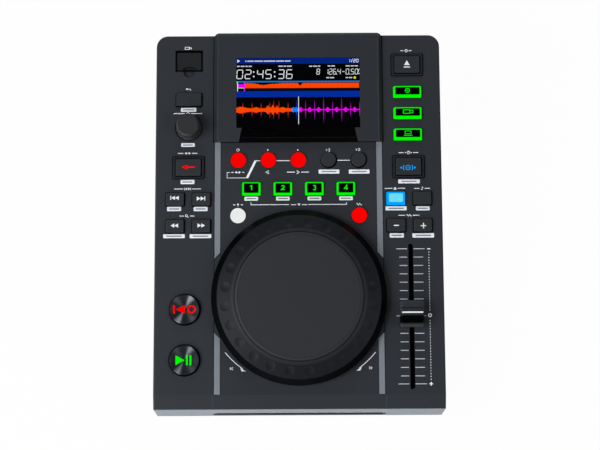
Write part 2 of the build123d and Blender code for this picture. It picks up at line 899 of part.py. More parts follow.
def make_rubber_feet():
    """Four round feet under the tray."""
    foot = turned(
        [
            (0, foot_hollow_depth), (foot_hollow_radius, foot_hollow_depth), (foot_hollow_radius, 0),
            (foot_radius - foot_bevel, 0), (foot_radius, foot_bevel), (foot_radius, foot_height),
            (0, foot_height),
        ]
    )
    x = half_width - foot_inset
    y = rear_y - foot_inset
    return group(Pos(sx * x, sy * y, 0) * foot for sx in (-1, 1) for sy in (-1, 1))


def make_case_screws():
    """Six case screws and four rear-panel screws."""
    solids = []
    for x, y in screw_places():
        head = disc(x, y, screw_head_radius, floor_z - screw_head_height, floor_z)
        shank = disc(x, y, screw_radius, floor_z - 1, floor_z + screw_length - 1)
        slot = block(
            x - screw_head_radius / 2, x + screw_head_radius / 2,
            y - driver_slot_width / 2, y + driver_slot_width / 2,
            base_z, floor_z - screw_head_height + driver_slot_depth,
        )
        solids.append(head + shank - slot)
    for x, z in panel_screw_places():
        head = rod_y(x, rear_y - panel_screw_head_height, rear_y - run_gap, z, panel_screw_head_radius)
        shank = rod_y(x, rear_y - wall - panel_screw_length + 1, rear_y - 1, z, panel_screw_radius)
        slot = block(
            x - panel_screw_head_radius / 2, x + panel_screw_head_radius / 2,
            rear_y - driver_slot_depth, rear_y, z - driver_slot_width / 2, z + driver_slot_width / 2,
        )
        solids.append(head + shank - slot)
    return group(solids)


# ---- display ----------------------------------------------------------------

def window_outline(z0, z1, grow, grow_front):
    """Screen window joined to the plain strip under it."""
    screen_front = row_display - display_active_depth / 2
    screen = block(
        -display_active_width / 2 - grow, display_active_width / 2 + grow,
        screen_front - grow, row_display + display_active_depth / 2 + grow, z0, z1,
    )
    strip = block(
        -strip_window_width / 2 - grow, strip_window_width / 2 + grow,
        screen_front - strip_window_depth - grow_front, row_display, z0, z1,
    )
    return screen + strip


def make_display_surround():
    """Bevelled block that frames the screen and stands on the deck."""
    rear = deck_length + surround_overhang
    front = deck_length - surround_front
    middle = (front + rear) / 2
    reach = rear - middle + surround_corner + surround_bevel
    body = slab(0, rear - reach, surround_width, 2 * reach, 0, surround_height, surround_corner)
    body = chamfer(body.edges().group_by(Axis.Z)[-1], surround_bevel)
    body = body - block(-case_width, case_width, front - 2 * reach, front, -wall, 2 * surround_height)
    body = chamfer(body.edges().group_by(Axis.Z)[-1].group_by(Axis.Y)[0], surround_front_bevel)
    glass_low = surround_height - glass_recess - glass_thickness
    body = body - window_outline(0, surround_height + 1, 0, 0)
    body = body - window_outline(
        -1, glass_low + glass_thickness, glass_margin + run_gap, strip_window_margin + run_gap
    )
    module = slab(
        0, row_display, module_width + 2 * fit_gap, module_depth + 2 * fit_gap, -1, glass_low, 1
    )
    return on_deck(body - module)


def make_display_window():
    """Clear window over the screen and the strip under it."""
    top = surround_height - glass_recess
    return on_deck(window_outline(top - glass_thickness, top, glass_margin, strip_window_margin))


def make_display_module():
    """Flat display panel with its connector tail."""
    top = surround_height - glass_recess - glass_thickness
    panel = slab(0, row_display, module_width, module_depth, top - module_thickness, top, 1)
    tail_z = top - module_thickness - module_tail[2] / 2
    tail = Pos(0, row_display - module_tail_offset, tail_z) * Box(*module_tail)
    return on_deck(panel + tail)


# ---- deck furniture ---------------------------------------------------------

def make_trim_strips():
    """Inlaid strips beside the centre panel, each in two lengths with the wheel between."""
    rear = deck_length - surround_front - fit_gap
    lengths = []
    for side in (-1, 1):
        strip = block(
            side * strip_x - strip_width / 2 + run_gap, side * strip_x + strip_width / 2 - run_gap,
            fit_gap, rear, -strip_seat, strip_rise,
        )
        lengths.extend((strip - strip_break(side, fit_gap)).solids())
    return group(on_deck(length) for length in lengths)


def make_key_bezels():
    """Raised frames around the three framed keys."""
    frames = []
    for x, row in framed_places:
        frame = slab(x, row, bezel_width, bezel_depth, -bezel_seat, bezel_rise, key_corner)
        frame = fillet(frame.edges().group_by(Axis.Z)[-1], key_top_round)
        frame = frame - slab(
            x, row, framed_key_width + 2 * key_gap, framed_key_depth + 2 * key_gap,
            -wall, wall, key_corner,
        )
        frames.append(on_deck(frame))
    return group(frames)


def stem_bottom(travel):
    """Height of a key stem's lower end, clear of its switch by a little over the travel."""
    return switch_height + switch_button_height - board_depth_below + travel + flange_gap


def make_flat_key(x, row, width, depth):
    """Rectangular key cap with a retaining flange and a stem."""
    cap = slab(x, row, width, depth, -wall - flange_gap, key_rise, key_corner)
    cap = fillet(cap.edges().group_by(Axis.Z)[-1], key_top_round)
    low = -wall - flange_gap - flange_thickness
    flange = slab(
        x, row, width + 2 * (key_gap + flange_width), depth + 2 * (key_gap + flange_width),
        low, -wall - flange_gap, key_corner,
    )
    stem = disc(x, row, stem_radius, stem_bottom(key_travel), low)
    return on_deck(cap + flange + stem)


def make_round_key(x, row, radius, rise, travel, hole):
    """Round key cap with a retaining flange and a stem."""
    top = -wall - flange_gap
    low = top - flange_thickness
    cap = disc(x, row, radius, top, rise)
    cap = fillet(cap.edges().group_by(Axis.Z)[-1], key_top_round)
    flange = disc(x, row, hole + flange_width, low, top)
    stem = disc(x, row, stem_radius, stem_bottom(travel), low)
    return cap + flange + stem


def make_big_key(x, row):
    """Large round key with a shallow dish in its top."""
    key = make_round_key(x, row, big_key_radius, big_key_rise, big_key_travel, big_key_hole)
    span = big_key_radius - 1.2
    bowl_radius = (span * span + big_key_dish * big_key_dish) / (2 * big_key_dish)
    bowl = Pos(x, row, big_key_rise - big_key_dish + bowl_radius) * Sphere(bowl_radius)
    return on_deck(key - bowl)


# ---- jog wheel --------------------------------------------------------------

def make_jog_ring():
    """Jog wheel body: bevelled rim, dimpled cone, hub, shaft and slotted encoder disc."""
    outer = jog_radius
    shoulder = jog_radius - jog_shoulder
    seat = jog_plate_radius + fit_gap
    plate_top = jog_height
    cone_inner = plate_top - jog_plate_bevel_drop
    cone_outer = cone_inner - jog_cone_drop
    under = cone_outer - jog_skin
    plate_low = plate_top - jog_plate_thickness
    disc_high = -jog_shaft_end + encoder_disc_thickness + encoder_disc_end
    profile = [
        (0, plate_low), (seat, plate_low), (seat, cone_inner), (shoulder, cone_outer),
        (outer, cone_outer - jog_bevel_drop), (outer, jog_float), (outer - jog_skin, jog_float),
        (outer - jog_skin, cone_outer - jog_bevel_drop), (shoulder - 1, under), (jog_hub_radius, under),
        (jog_hub_radius, jog_float), (jog_shaft_radius, jog_float),
        (jog_shaft_radius, disc_high), (encoder_disc_radius, disc_high),
        (encoder_disc_radius, disc_high - encoder_disc_thickness),
        (jog_shaft_radius, disc_high - encoder_disc_thickness),
        (jog_shaft_radius, -jog_shaft_end), (0, -jog_shaft_end),
    ]
    ring = turned(profile)
    share = (dimple_ring - seat) / (shoulder - seat)
    surface = cone_inner + share * (cone_outer - cone_inner)
    bowl_radius = (dimple_radius ** 2 + dimple_depth ** 2) / (2 * dimple_depth)
    lean = atan2(jog_cone_drop, shoulder - seat)     # the bowls are square to the cone
    lift = bowl_radius - dimple_depth
    bowls = [
        Rot(0, 0, (step + 0.5) * 360 / dimple_count)
        * Pos(0, dimple_ring + lift * sin(lean), surface + lift * cos(lean))
        * Sphere(bowl_radius)
        for step in range(dimple_count)
    ]
    slots = [
        Rot(0, 0, step * 360 / dimple_count)
        * Pos(0, encoder_disc_radius - encoder_slot_inset, disc_high - encoder_disc_thickness / 2)
        * Box(encoder_slot_width, encoder_slot_length, 2 * encoder_disc_thickness)
        for step in range(dimple_count)
    ]
    return on_deck(Pos(0, row_jog, 0) * (ring - bowls - slots))


def make_jog_plate():
    """Touch plate that sits in the top of the jog wheel."""
    low = jog_height - jog_plate_thickness
    plate = turned(
        [
            (0, low), (jog_plate_radius, low), (jog_plate_radius, jog_height - jog_plate_bevel_drop),
            (jog_plate_radius - jog_plate_bevel, jog_height), (0, jog_height),
        ]
    )
    return on_deck(Pos(0, row_jog, 0) * plate)


def make_jog_bearing():
    """Flanged bearing under the deck that carries the wheel's shaft."""
    top = jog_float - flange_gap
    bearing = turned(
        [
            (jog_shaft_radius + run_gap, top), (bearing_tube_radius, top),
            (bearing_tube_radius, -wall), (bearing_flange_radius, -wall),
            (bearing_flange_radius, -wall - bearing_flange_thickness),
            (bearing_tube_radius + 2, -wall - bearing_flange_thickness),
            (bearing_tube_radius, -bearing_bottom), (jog_shaft_radius + run_gap, -bearing_bottom),
        ]
    )
    return on_deck(Pos(0, row_jog, 0) * bearing)


# ---- browse knob ------------------------------------------------------------

def plunger_low():
    """Height of the plunger's lower end."""
    return encoder_height - board_depth_below - encoder_height / 2 - 1


def make_browse_encoder():
    """Encoder body on the left board, with its bush in the deck."""
    top = encoder_height - board_depth_below
    x = -column_x
    half = encoder_width / 2
    body = block(x - half, x + half, row_browse - half, row_browse + half, -board_depth_below, top)
    bush = disc(x, row_browse, bush_radius, top - 1, -knob_well_depth - fit_gap)
    bore = disc(x, row_browse, plunger_radius + run_gap, plunger_low() - plunger_travel - fit_gap, wall)
    return on_deck(body + bush - bore)


def make_browse_plunger():
    """Shaft that slides in the encoder when the knob is pressed."""
    return on_deck(disc(-column_x, row_browse, plunger_radius, plunger_low(), knob_height - knob_cap))


def make_browse_knob():
    """Tapered knob that turns on the plunger."""
    low = plunger_travel + fit_gap - knob_well_depth
    knob = turned(
        [
            (plunger_radius + run_gap, low), (knob_base_radius, low),
            (knob_base_radius, low + knob_skirt_height),
            (knob_top_radius + knob_step, low + knob_skirt_height + knob_step_height),
            (knob_top_radius, knob_height - knob_top_bevel),
            (knob_top_radius - knob_top_bevel, knob_height), (0, knob_height),
            (0, knob_height - knob_cap + run_gap),
            (plunger_radius + run_gap, knob_height - knob_cap + run_gap),
        ]
    )
    return on_deck(Pos(-column_x, row_browse, 0) * knob)


# ---- pitch fader ------------------------------------------------------------

def make_fader_body():
    """Long slide control under the deck, open along its top."""
    x = fader_x
    half_length = fader_body_length / 2
    low = -wall - fader_body_height
    body = block(
        x - fader_body_width / 2, x + fader_body_width / 2,
        row_fader - half_length, row_fader + half_length, low, -wall,
    )
    cavity_half = fader_carriage_width / 2 + fader_cavity_gap
    reach = fader_travel + cap_behind + fader_carriage_length / 2 + fader_cavity_gap
    cavity = block(
        x - cavity_half, x + cavity_half, row_fader - reach, row_fader + reach,
        low + fader_floor, carriage_top() + fader_cavity_gap,
    )
    slot = block(
        x - fader_slot_width / 2, x + fader_slot_width / 2, row_fader - reach, row_fader + reach,
        low + fader_floor, wall,
    )
    return on_deck(body - cavity - slot)


def carriage_top():
    """Height of the top of the fader's carriage."""
    return -wall - fader_body_height + fader_floor + fader_cavity_gap + fader_carriage_height


def make_fader_cap():
    """Fader knob with a finger ridge, its stem and its carriage."""
    x = fader_x
    row = row_fader + cap_behind
    base = slab(x, row, cap_width, cap_length, cap_float, cap_float + cap_height, cap_corner)
    base = chamfer(base.edges().group_by(Axis.Z)[-1], cap_bevel)
    top = cap_float + cap_height
    side = Polyline(
        (row - cap_ridge_length, top - cap_ridge_root),
        (row - cap_ridge_length / 2, top + cap_ridge_height),
        (row + cap_ridge_length / 2, top + cap_ridge_height),
        (row + cap_ridge_length, top - cap_ridge_root),
        close=True,
    )
    ridge = extrude(make_face(Plane.YZ * side), cap_width / 2 - cap_bevel, both=True)
    stem = block(
        x - fader_stem_width / 2, x + fader_stem_width / 2,
        row - fader_stem_length / 2, row + fader_stem_length / 2,
        carriage_top() - 1, cap_float + 1,
    )
    carriage = block(
        x - fader_carriage_width / 2, x + fader_carriage_width / 2,
        row - fader_carriage_length / 2, row + fader_carriage_length / 2,
        carriage_top() - fader_carriage_height, carriage_top(),
    )
    return on_deck(base + Pos(x, 0, 0) * ridge + stem + carriage)


# ---- control boards ---------------------------------------------------------

def key_places():
    """Deck position of every key."""
    places = [(x, row) for x, row, size in flat_keys.values()]
    return places + list(round_keys.values()) + list(big_keys.values())


def make_control_boards():
    """Circuit boards that hang under the deck."""
    top = -board_depth_below
    low = top - board_thickness
    inner = half_width - board_inner
    outer = half_width - board_outer
    centre = strip_x - centre_board_inset
    left = block(-outer, -inner, left_board_front, deck_length - left_board_rear, low, top)
    right = block(inner, outer, right_board_front, deck_length - right_board_rear, low, top)
    middle = block(-centre, centre, centre_board_front, centre_board_rear, low, top)
    usb_low = -socket_board_top - board_thickness
    usb = block(
        -column_x - lid_width / 2, -column_x + lid_width / 2,
        row_usb - lid_depth / 2, row_usb + lid_depth / 2, usb_low, -socket_board_top,
    )
    tall = crease_z + case_depth
    notches = [disc(x, y, column_radius + fit_gap, 0, tall) for x, y in screw_places()]
    return group(on_deck(board) - notches for board in (left, right, middle, usb))


def make_tact_switches():
    """One push switch under each key."""
    solids = []
    half = switch_width / 2
    for x, row in key_places():
        low = -board_depth_below
        body = block(x - half, x + half, row - half, row + half, low, low + switch_height)
        button = disc(
            x, row, switch_button_radius, low + switch_height - 1, low + switch_height + switch_button_height
        )
        solids.append(on_deck(body + button))
    return group(solids)


# ---- stick socket and lid ---------------------------------------------------

def make_usb_socket():
    """Upright metal socket with its contact tongue."""
    x = -column_x
    shell = slab(x, row_usb, socket_width, socket_depth, -socket_board_top, -socket_top, socket_wall)
    hollow = block(
        x - socket_width / 2 + socket_wall, x + socket_width / 2 - socket_wall,
        row_usb - socket_depth / 2 + socket_wall, row_usb + socket_depth / 2 - socket_wall,
        2 - socket_board_top, 0,
    )
    tongue = block(
        x - socket_tongue_width / 2, x + socket_tongue_width / 2,
        row_usb - socket_tongue_thickness / 2, row_usb + socket_tongue_thickness / 2,
        1 - socket_board_top, -socket_top - 1,
    )
    return on_deck(shell - hollow + tongue)


def make_usb_cover():
    """Hinged lid over the stick socket, with a finger notch in its front edge."""
    x = -column_x
    axis = lid_axis_row()
    front = row_usb - lid_depth / 2
    plate = block(x - lid_width / 2, x + lid_width / 2, front, axis, -lid_thickness, 0)
    plate = fillet(plate.edges().filter_by(Axis.Z).group_by(Axis.Y)[0], key_corner)
    barrel = rod_x(x - lid_width / 2, x + lid_width / 2, axis, -lid_axis_depth, lid_axis_depth)
    reach = lid_width / 2 + lid_pin_length
    pins = rod_x(x - reach, x + reach, axis, -lid_axis_depth, lid_pin_radius)
    notch = Pos(x, front, 0) * Cylinder(lid_notch_width / 2, 2 * lid_notch_cut)
    shelf = block(x - lid_width / 2, x + lid_width / 2, front + lid_notch_reach, axis, -lid_thickness, 0)
    body = (plate - notch) + barrel + pins
    return on_deck(body + shelf)


# ---- disc drive -------------------------------------------------------------

def drive_front():
    """Y of the drive's front edge."""
    return front_y + drive_set_back


def sled_rod_z():
    """Height of the sled's guide rods."""
    return drive_floor_z + drive_sheet + sled_rod_height


def sled_rods_span():
    """Y of the two ends of the sled's guide rods."""
    first = spindle_y + sled_inner_radius - sled_length / 2 - 1
    last = spindle_y + sled_inner_radius + sled_travel + sled_length / 2 + 1
    return first, last


def make_drive_chassis():
    """Sheet chassis of the disc drive with its motor, guide rods and bearings."""
    x = drive_width / 2
    front = drive_front()
    rear = front + drive_depth
    low = drive_floor_z
    high = drive_roof_z + drive_sheet
    shell = block(-x, x, front, rear, low, high)
    shell = shell - block(
        drive_sheet - x, x - drive_sheet, front - 1, rear - drive_sheet, low + drive_sheet, drive_roof_z
    )
    shell = shell - disc(0, spindle_y, clamp_neck_radius + fit_gap, drive_roof_z - 1, high + 1)
    roller_y = front + roller_set_back
    roller_z = bay_bottom - run_gap - roller_radius
    shell = shell - rod_x(-x - 1, x + 1, roller_y, roller_z, roller_shaft_radius + run_gap)
    motor = disc(0, spindle_y, motor_radius, low + drive_sheet / 2, low + drive_sheet + motor_height)
    shell = shell + motor - disc(0, spindle_y, spindle_radius + run_gap, low - 1, high)
    first, last = sled_rods_span()
    post_low = low + drive_sheet / 2
    post_top = sled_rod_z() + sled_post_wall
    wide = sled_rod_radius + sled_post_wall
    for px in (-sled_rod_x, sled_rod_x, sled_screw_x):
        for start in (first - sled_end_block, last):
            shell = shell + block(px - wide, px + wide, start, start + sled_end_block, post_low, post_top)
    for px in (-sled_rod_x, sled_rod_x):
        shell = shell - rod_y(px, first - sled_end_block, last + sled_end_block, sled_rod_z(), sled_rod_radius)
    shell = shell - rod_y(
        sled_screw_x, first - sled_end_block - 1, last + sled_end_block + 1, sled_rod_z(),
        sled_screw_radius + run_gap,
    )
    rods = [
        rod_y(px, first - sled_end_block, last + sled_end_block, sled_rod_z(), sled_rod_radius)
        for px in (-sled_rod_x, sled_rod_x)
    ]
    return group([shell] + rods)


def make_turntable():
    """Spindle with its disc seat and centring hub."""
    seat_low = drive_floor_z + drive_sheet + motor_height + fit_gap
    top = bay_bottom - run_gap
    return Pos(0, spindle_y, 0) * turned(
        [
            (0, drive_floor_z + drive_sheet / 2), (spindle_radius, drive_floor_z + drive_sheet / 2),
            (spindle_radius, seat_low), (turntable_radius, seat_low),
            (turntable_radius, seat_low + turntable_thickness), (hub_radius, seat_low + turntable_thickness),
            (hub_radius - turntable_thickness, top), (0, top),
        ]
    )


def make_disc_clamp():
    """Clamp that hangs in the roof of the drive above the turntable."""
    low = bay_top + clamp_clear
    flange_low = drive_roof_z + drive_sheet + fit_gap / 2
    flange_top = flange_low + clamp_flange_thickness
    recess_radius = hub_radius + clamp_recess
    return Pos(0, spindle_y, 0) * turned(
        [
            (0, low + clamp_recess), (recess_radius, low + clamp_recess), (recess_radius, low),
            (clamp_pad_radius, low), (clamp_neck_radius, low + clamp_pad_bevel),
            (clamp_neck_radius, flange_low), (clamp_flange_radius, flange_low),
            (clamp_flange_radius, flange_top), (0, flange_top),
        ]
    )


def make_feed_roller():
    """Rubber roller behind the slot that draws the disc in."""
    y = drive_front() + roller_set_back
    z = bay_bottom - run_gap - roller_radius
    half = drive_width / 2
    roller = rod_x(-roller_length / 2, roller_length / 2, y, z, roller_radius)
    shaft = rod_x(-half, half, y, z, roller_shaft_radius)
    return roller + shaft


def make_pickup_sled():
    """Pickup block that rides on the two guide rods and is driven by the screw."""
    y = spindle_y + sled_inner_radius
    half = sled_length / 2
    z = sled_rod_z()
    reach = sled_rod_x + sled_rod_radius + sled_side
    body = block(-reach, reach, y - half, y + half, z - sled_thickness / 2, z + sled_thickness / 2)
    finger = block(
        reach - 1, sled_screw_x + sled_finger_width / 2,
        y - sled_finger_length / 2, y + sled_finger_length / 2,
        z - sled_thickness / 2, z + sled_thickness / 2,
    )
    body = body + finger
    for px in (-sled_rod_x, sled_rod_x):
        body = body - rod_y(px, y - half - 1, y + half + 1, z, sled_rod_radius + run_gap)
    body = body - rod_y(sled_screw_x, y - half - 1, y + half + 1, z, sled_screw_radius + 2 * run_gap)
    lens = disc(0, y, lens_radius, z, bay_bottom - run_gap)
    return body + lens


def make_sled_screw():
    """Lead screw that drives the pickup sled."""
    first, last = sled_rods_span()
    z = sled_rod_z()
    gear_end = last + sled_end_block + sled_gear_length
    screw = rod_y(sled_screw_x, first - sled_end_block, gear_end, z, sled_screw_radius)
    gear = rod_y(sled_screw_x, last + sled_end_block + fit_gap, gear_end, z, sled_gear_radius)
    return screw + gear


# ---- main board -------------------------------------------------------------

def make_main_board():
    """Main board with its supply, chips and capacitors as separate solids."""
    low = main_board_z
    top = low + board_thickness
    half = main_board_width / 2
    front = main_board_front
    rear = main_board_rear
    solids = [block(-half, half, front, rear, low, top)]
    for x, y, width, depth, height in board_blocks:
        left = x - half
        solids.append(block(left, left + width, front + y, front + y + depth, top, top + height))
    for x, y in board_cans:
        solids.append(disc(x - half, front + y, can_radius, top, top + can_height))
    return group(solids)


# ---- write every piece ------------------------------------------------------

pieces = {
    "top_cover": make_top_cover,
    "bottom_tray": make_bottom_tray,
    "front_fascia": make_front_fascia,
    "rear_panel": make_rear_panel,
    "rear_sockets": make_rear_sockets,
    "power_rocker": make_power_rocker,
    "rubber_feet": make_rubber_feet,
    "case_screws": make_case_screws,
    "display_surround": make_display_surround,
    "display_window": make_display_window,
    "display_module": make_display_module,
    "trim_strips": make_trim_strips,
    "key_bezels": make_key_bezels,
    "jog_ring": make_jog_ring,
    "jog_plate": make_jog_plate,
    "jog_bearing": make_jog_bearing,
    "browse_encoder": make_browse_encoder,
    "browse_plunger": make_browse_plunger,
    "browse_knob": make_browse_knob,
    "fader_body": make_fader_body,
    "fader_cap": make_fader_cap,
    "control_boards": make_control_boards,
    "tact_switches": make_tact_switches,
    "usb_socket": make_usb_socket,
    "usb_cover": make_usb_cover,
    "drive_chassis": make_drive_chassis,
    "turntable": make_turntable,
    "disc_clamp": make_disc_clamp,
    "feed_roller": make_feed_roller,
    "pickup_sled": make_pickup_sled,
    "sled_screw": make_sled_screw,
    "main_board": make_main_board,
}

os.makedirs("parts", exist_ok=True)
for piece_name, make in pieces.items():
    save(piece_name, make())
for piece_name, (key_x, key_row, (key_width, key_depth)) in flat_keys.items():
    save(piece_name, make_flat_key(key_x, key_row, key_width, key_depth))
for piece_name, (key_x, key_row) in round_keys.items():
    key = make_round_key(
        key_x, key_row, round_key_radius, round_key_rise, key_travel, round_key_radius + key_gap
    )
    save(piece_name, on_deck(key))
for piece_name, (key_x, key_row) in big_keys.items():
    save(piece_name, make_big_key(key_x, key_row))
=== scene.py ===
import json
import math

import bmesh
import bpy
import numpy as np
from mathutils import Matrix, Vector


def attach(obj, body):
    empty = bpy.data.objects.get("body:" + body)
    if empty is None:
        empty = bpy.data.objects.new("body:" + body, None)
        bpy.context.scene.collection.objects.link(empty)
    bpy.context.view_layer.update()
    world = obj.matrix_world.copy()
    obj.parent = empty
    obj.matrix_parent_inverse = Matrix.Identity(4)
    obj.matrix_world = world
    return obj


# Finishes, printed marks, screen and studio of a tabletop disc player.

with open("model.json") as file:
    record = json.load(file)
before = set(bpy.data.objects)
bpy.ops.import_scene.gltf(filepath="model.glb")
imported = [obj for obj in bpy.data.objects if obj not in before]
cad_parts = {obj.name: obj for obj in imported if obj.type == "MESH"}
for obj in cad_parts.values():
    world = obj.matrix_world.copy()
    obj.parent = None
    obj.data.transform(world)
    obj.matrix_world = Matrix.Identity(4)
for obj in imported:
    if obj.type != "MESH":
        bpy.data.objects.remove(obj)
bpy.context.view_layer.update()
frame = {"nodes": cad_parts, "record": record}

# ---- places ----
# Sizes are millimetres unless a comment says otherwise.

CREASE_Y, CREASE_Z = -132.7, 45  # front edge of the sloping deck
SLOPE = math.radians(8)
FRONT_RUN, FRONT_FALL = 10, 4  # the slope in front of that edge
PANEL_Y = 133.7  # outer face of the recessed rear panel
LIFT = 0.03  # height of printed ink
KEY_TOP = 1.8  # top of the small keys over the deck
SCREEN_FLOOR = 1.6  # top of the display module over the deck


def deck(points):
    """Deck places (x, row, height) in frame metres: the row climbs at the deck's angle from its front crease and
    the height runs along its normal."""
    x, row, height = np.moveaxis(np.asarray(points, float), -1, 0)
    y = CREASE_Y + row * math.cos(SLOPE) - height * math.sin(SLOPE)
    z = CREASE_Z + row * math.sin(SLOPE) + height * math.cos(SLOPE)
    return np.stack([x, y, z], -1) / 1000


def rear(points):
    """Rear-panel places (distance to the left, height above the floor, reach out of the panel)."""
    left, up, out = np.moveaxis(np.asarray(points, float), -1, 0)
    return np.stack([-left, PANEL_Y + out, up], -1) / 1000


def tipped(front_row, top, fall):
    """Places on a face that falls towards the front from a row and a height above the deck, by an angle in
    degrees: (x, run down the face, height over it)."""
    drop = math.radians(fall)

    def place(points):
        x, run, height = np.moveaxis(np.asarray(points, float), -1, 0)
        row = front_row - run * math.cos(drop) - height * math.sin(drop)
        level = top - run * math.sin(drop) + height * math.cos(drop)
        return deck(np.stack([x, row, level], -1))

    return place


front_slope = tipped(0, 0, math.degrees(math.atan2(FRONT_FALL, FRONT_RUN) - SLOPE))

# ---- surfaces ----


def plate(outline, low, high):
    """Closed flat plate: the outline shrinks to its middle point on both faces. A clockwise outline, whose
    shoelace area is negative, is turned round."""
    outline = np.asarray(outline, float)
    ahead = np.roll(outline, -1, 0)
    if (outline[:, 0] * ahead[:, 1] - ahead[:, 0] * outline[:, 1]).sum() < 0:
        outline = outline[::-1]
    middle = outline.mean(0)
    rings = ((0, high), (1, high), (1, low), (0, low))
    rows = [
        np.column_stack([middle + share * (outline - middle), np.full(len(outline), height)])
        for share, height in rings
    ]
    return np.stack(rows), True


def stroke(path, width, low, high, closed=False):
    """Flat bar carried along a path: the path shifted left and right by half the width over the cosine of half
    the turn at a corner, but never over less than 0.4."""
    path = np.asarray(path, float)
    ahead = np.diff(path, axis=0, append=path[:1] if closed else 2 * path[-1:] - path[-2:-1])
    ahead /= np.linalg.norm(ahead, axis=1)[:, None]
    behind = np.roll(ahead, 1, 0)
    if not closed:
        behind[0] = ahead[0]
    along = ahead + behind
    along /= np.linalg.norm(along, axis=1)[:, None]
    reach = width / 2 / np.clip((along * ahead).sum(1), 0.4, 1)
    side = np.column_stack([along[:, 1], -along[:, 0]]) * reach[:, None]
    corners = ((-1, low), (-1, high), (1, high), (1, low))
    rows = np.stack(
        [np.column_stack([path + sign * side, np.full(len(path), height)]) for sign, height in corners]
    )
    if closed:
        return np.concatenate([rows, rows[:1]]), True
    caps = [np.repeat(rows[:, k : k + 1].mean(0, keepdims=True), 4, 0) for k in (0, -1)]
    rows = np.concatenate([caps[0], rows, caps[1]], 1)
    return np.concatenate([rows, rows[:1]]), False


def arc(x, row, radius, start, end, steps=24):
    """Points on a circle between two angles in degrees."""
    turn = np.radians(np.linspace(start, end, steps + 1))
    return np.column_stack([x + radius * np.cos(turn), row + radius * np.sin(turn)])


def circle(x, row, radius, steps):
    """Points round a full circle."""
    return arc(x, row, radius, 0, 360, steps)[:-1]


def ring(x, row, inner, outer, low, high, steps=48):
    """Flat washer: a bar carried round a full circle."""
    return stroke(circle(x, row, (inner + outer) / 2, steps), outer - inner, low, high, True)


def dot(x, row, radius, low, high, steps=24):
    """Round plate."""
    return plate(circle(x, row, radius, steps), low, high)


def rounded(x, row, width, depth, corner=0, steps=5):
    """Outline of a rectangle whose corners are quarter circles."""
    if corner == 0:
        half = np.array([width, depth]) / 2
        return np.array([x, row]) + half * np.array([(-1, -1), (1, -1), (1, 1), (-1, 1)])
    across = width / 2 - corner
    along = depth / 2 - corner
    quarters = ((across, -along, -90), (across, along, 0), (-across, along, 90), (-across, -along, 180))
    return np.concatenate([arc(x + a, row + b, corner, t, t + 90, steps) for a, b, t in quarters])


def bar(x0, x1, row0, row1, low, high):
    """Rectangular plate between two corners."""
    return plate(rounded((x0 + x1) / 2, (row0 + row1) / 2, x1 - x0, row1 - row0), low, high)


def band(inner, outer, low, high):
    """Flat frame between two outlines with the same number of points."""
    rows = ((inner, low), (inner, high), (outer, high), (outer, low), (inner, low))
    return np.stack([np.column_stack([line, np.full(len(line), height)]) for line, height in rows]), True


def turned(profile, steps, x, row):
    """Surface of revolution: each (radius, height) point of the profile swept round the vertical."""
    profile = np.asarray(profile, float)
    turn = np.linspace(0, 2 * np.pi, steps, endpoint=False)
    radius, height = profile[:, :1], np.repeat(profile[:, 1:], steps, 1)
    return np.stack([x + radius * np.cos(turn), row + radius * np.sin(turn), height], -1), True


def ribbon(x, top, bottom, height):
    """Flat band between two curves given over the same x."""
    level = np.full(len(x), height)
    return np.stack([np.column_stack([x, top, level]), np.column_stack([x, bottom, level])]), False


def quads(shape, closed):
    """Corner numbers of the faces between neighbouring rows and columns of a grid."""
    number = np.arange(shape[0] * shape[1]).reshape(shape)
    if closed:
        number = np.concatenate([number, number[:, :1]], 1)
    faces = np.stack([number[:-1, :-1], number[1:, :-1], number[1:, 1:], number[:-1, 1:]], -1)
    return faces.reshape(-1, 4)


def stand(name, data):
    """Adds an object to the scene."""
    made = bpy.data.objects.new(name, data)
    bpy.context.scene.collection.objects.link(made)
    return made


WELD, SLIVER = 2e-7, 1e-8  # metres


def piece(name, grids, finish, body="case", place=deck, smooth=False):
    """One object from grids of points: the grids are placed, joined, and welded at poles and seams."""
    points, faces, count = [], [], 0
    for grid, closed in grids:
        faces.append(quads(grid.shape[:2], closed) + count)
        points.append(place(grid).reshape(-1, 3))
        count += len(points[-1])
    mesh = bpy.data.meshes.new(name)
    mesh.from_pydata(np.concatenate(points).tolist(), [], np.concatenate(faces).tolist())
    weld = bmesh.new()
    weld.from_mesh(mesh)
    bmesh.ops.remove_doubles(weld, verts=weld.verts, dist=WELD)
    bmesh.ops.dissolve_degenerate(weld, edges=weld.edges, dist=SLIVER)
    weld.to_mesh(mesh)
    weld.free()
    mesh.polygons.foreach_set("use_smooth", np.full(len(mesh.polygons), smooth))
    mesh.materials.append(finish)
    made = stand(name, mesh)
    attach(made, body)


# ---- finishes ----


def toned(colour, factor):
    """A colour with every channel multiplied."""
    return tuple(channel * factor for channel in colour)


def deck_point(x, row):
    """A place on the deck as three plain numbers in metres."""
    return tuple(float(value) for value in deck([(x, row, 0)])[0])


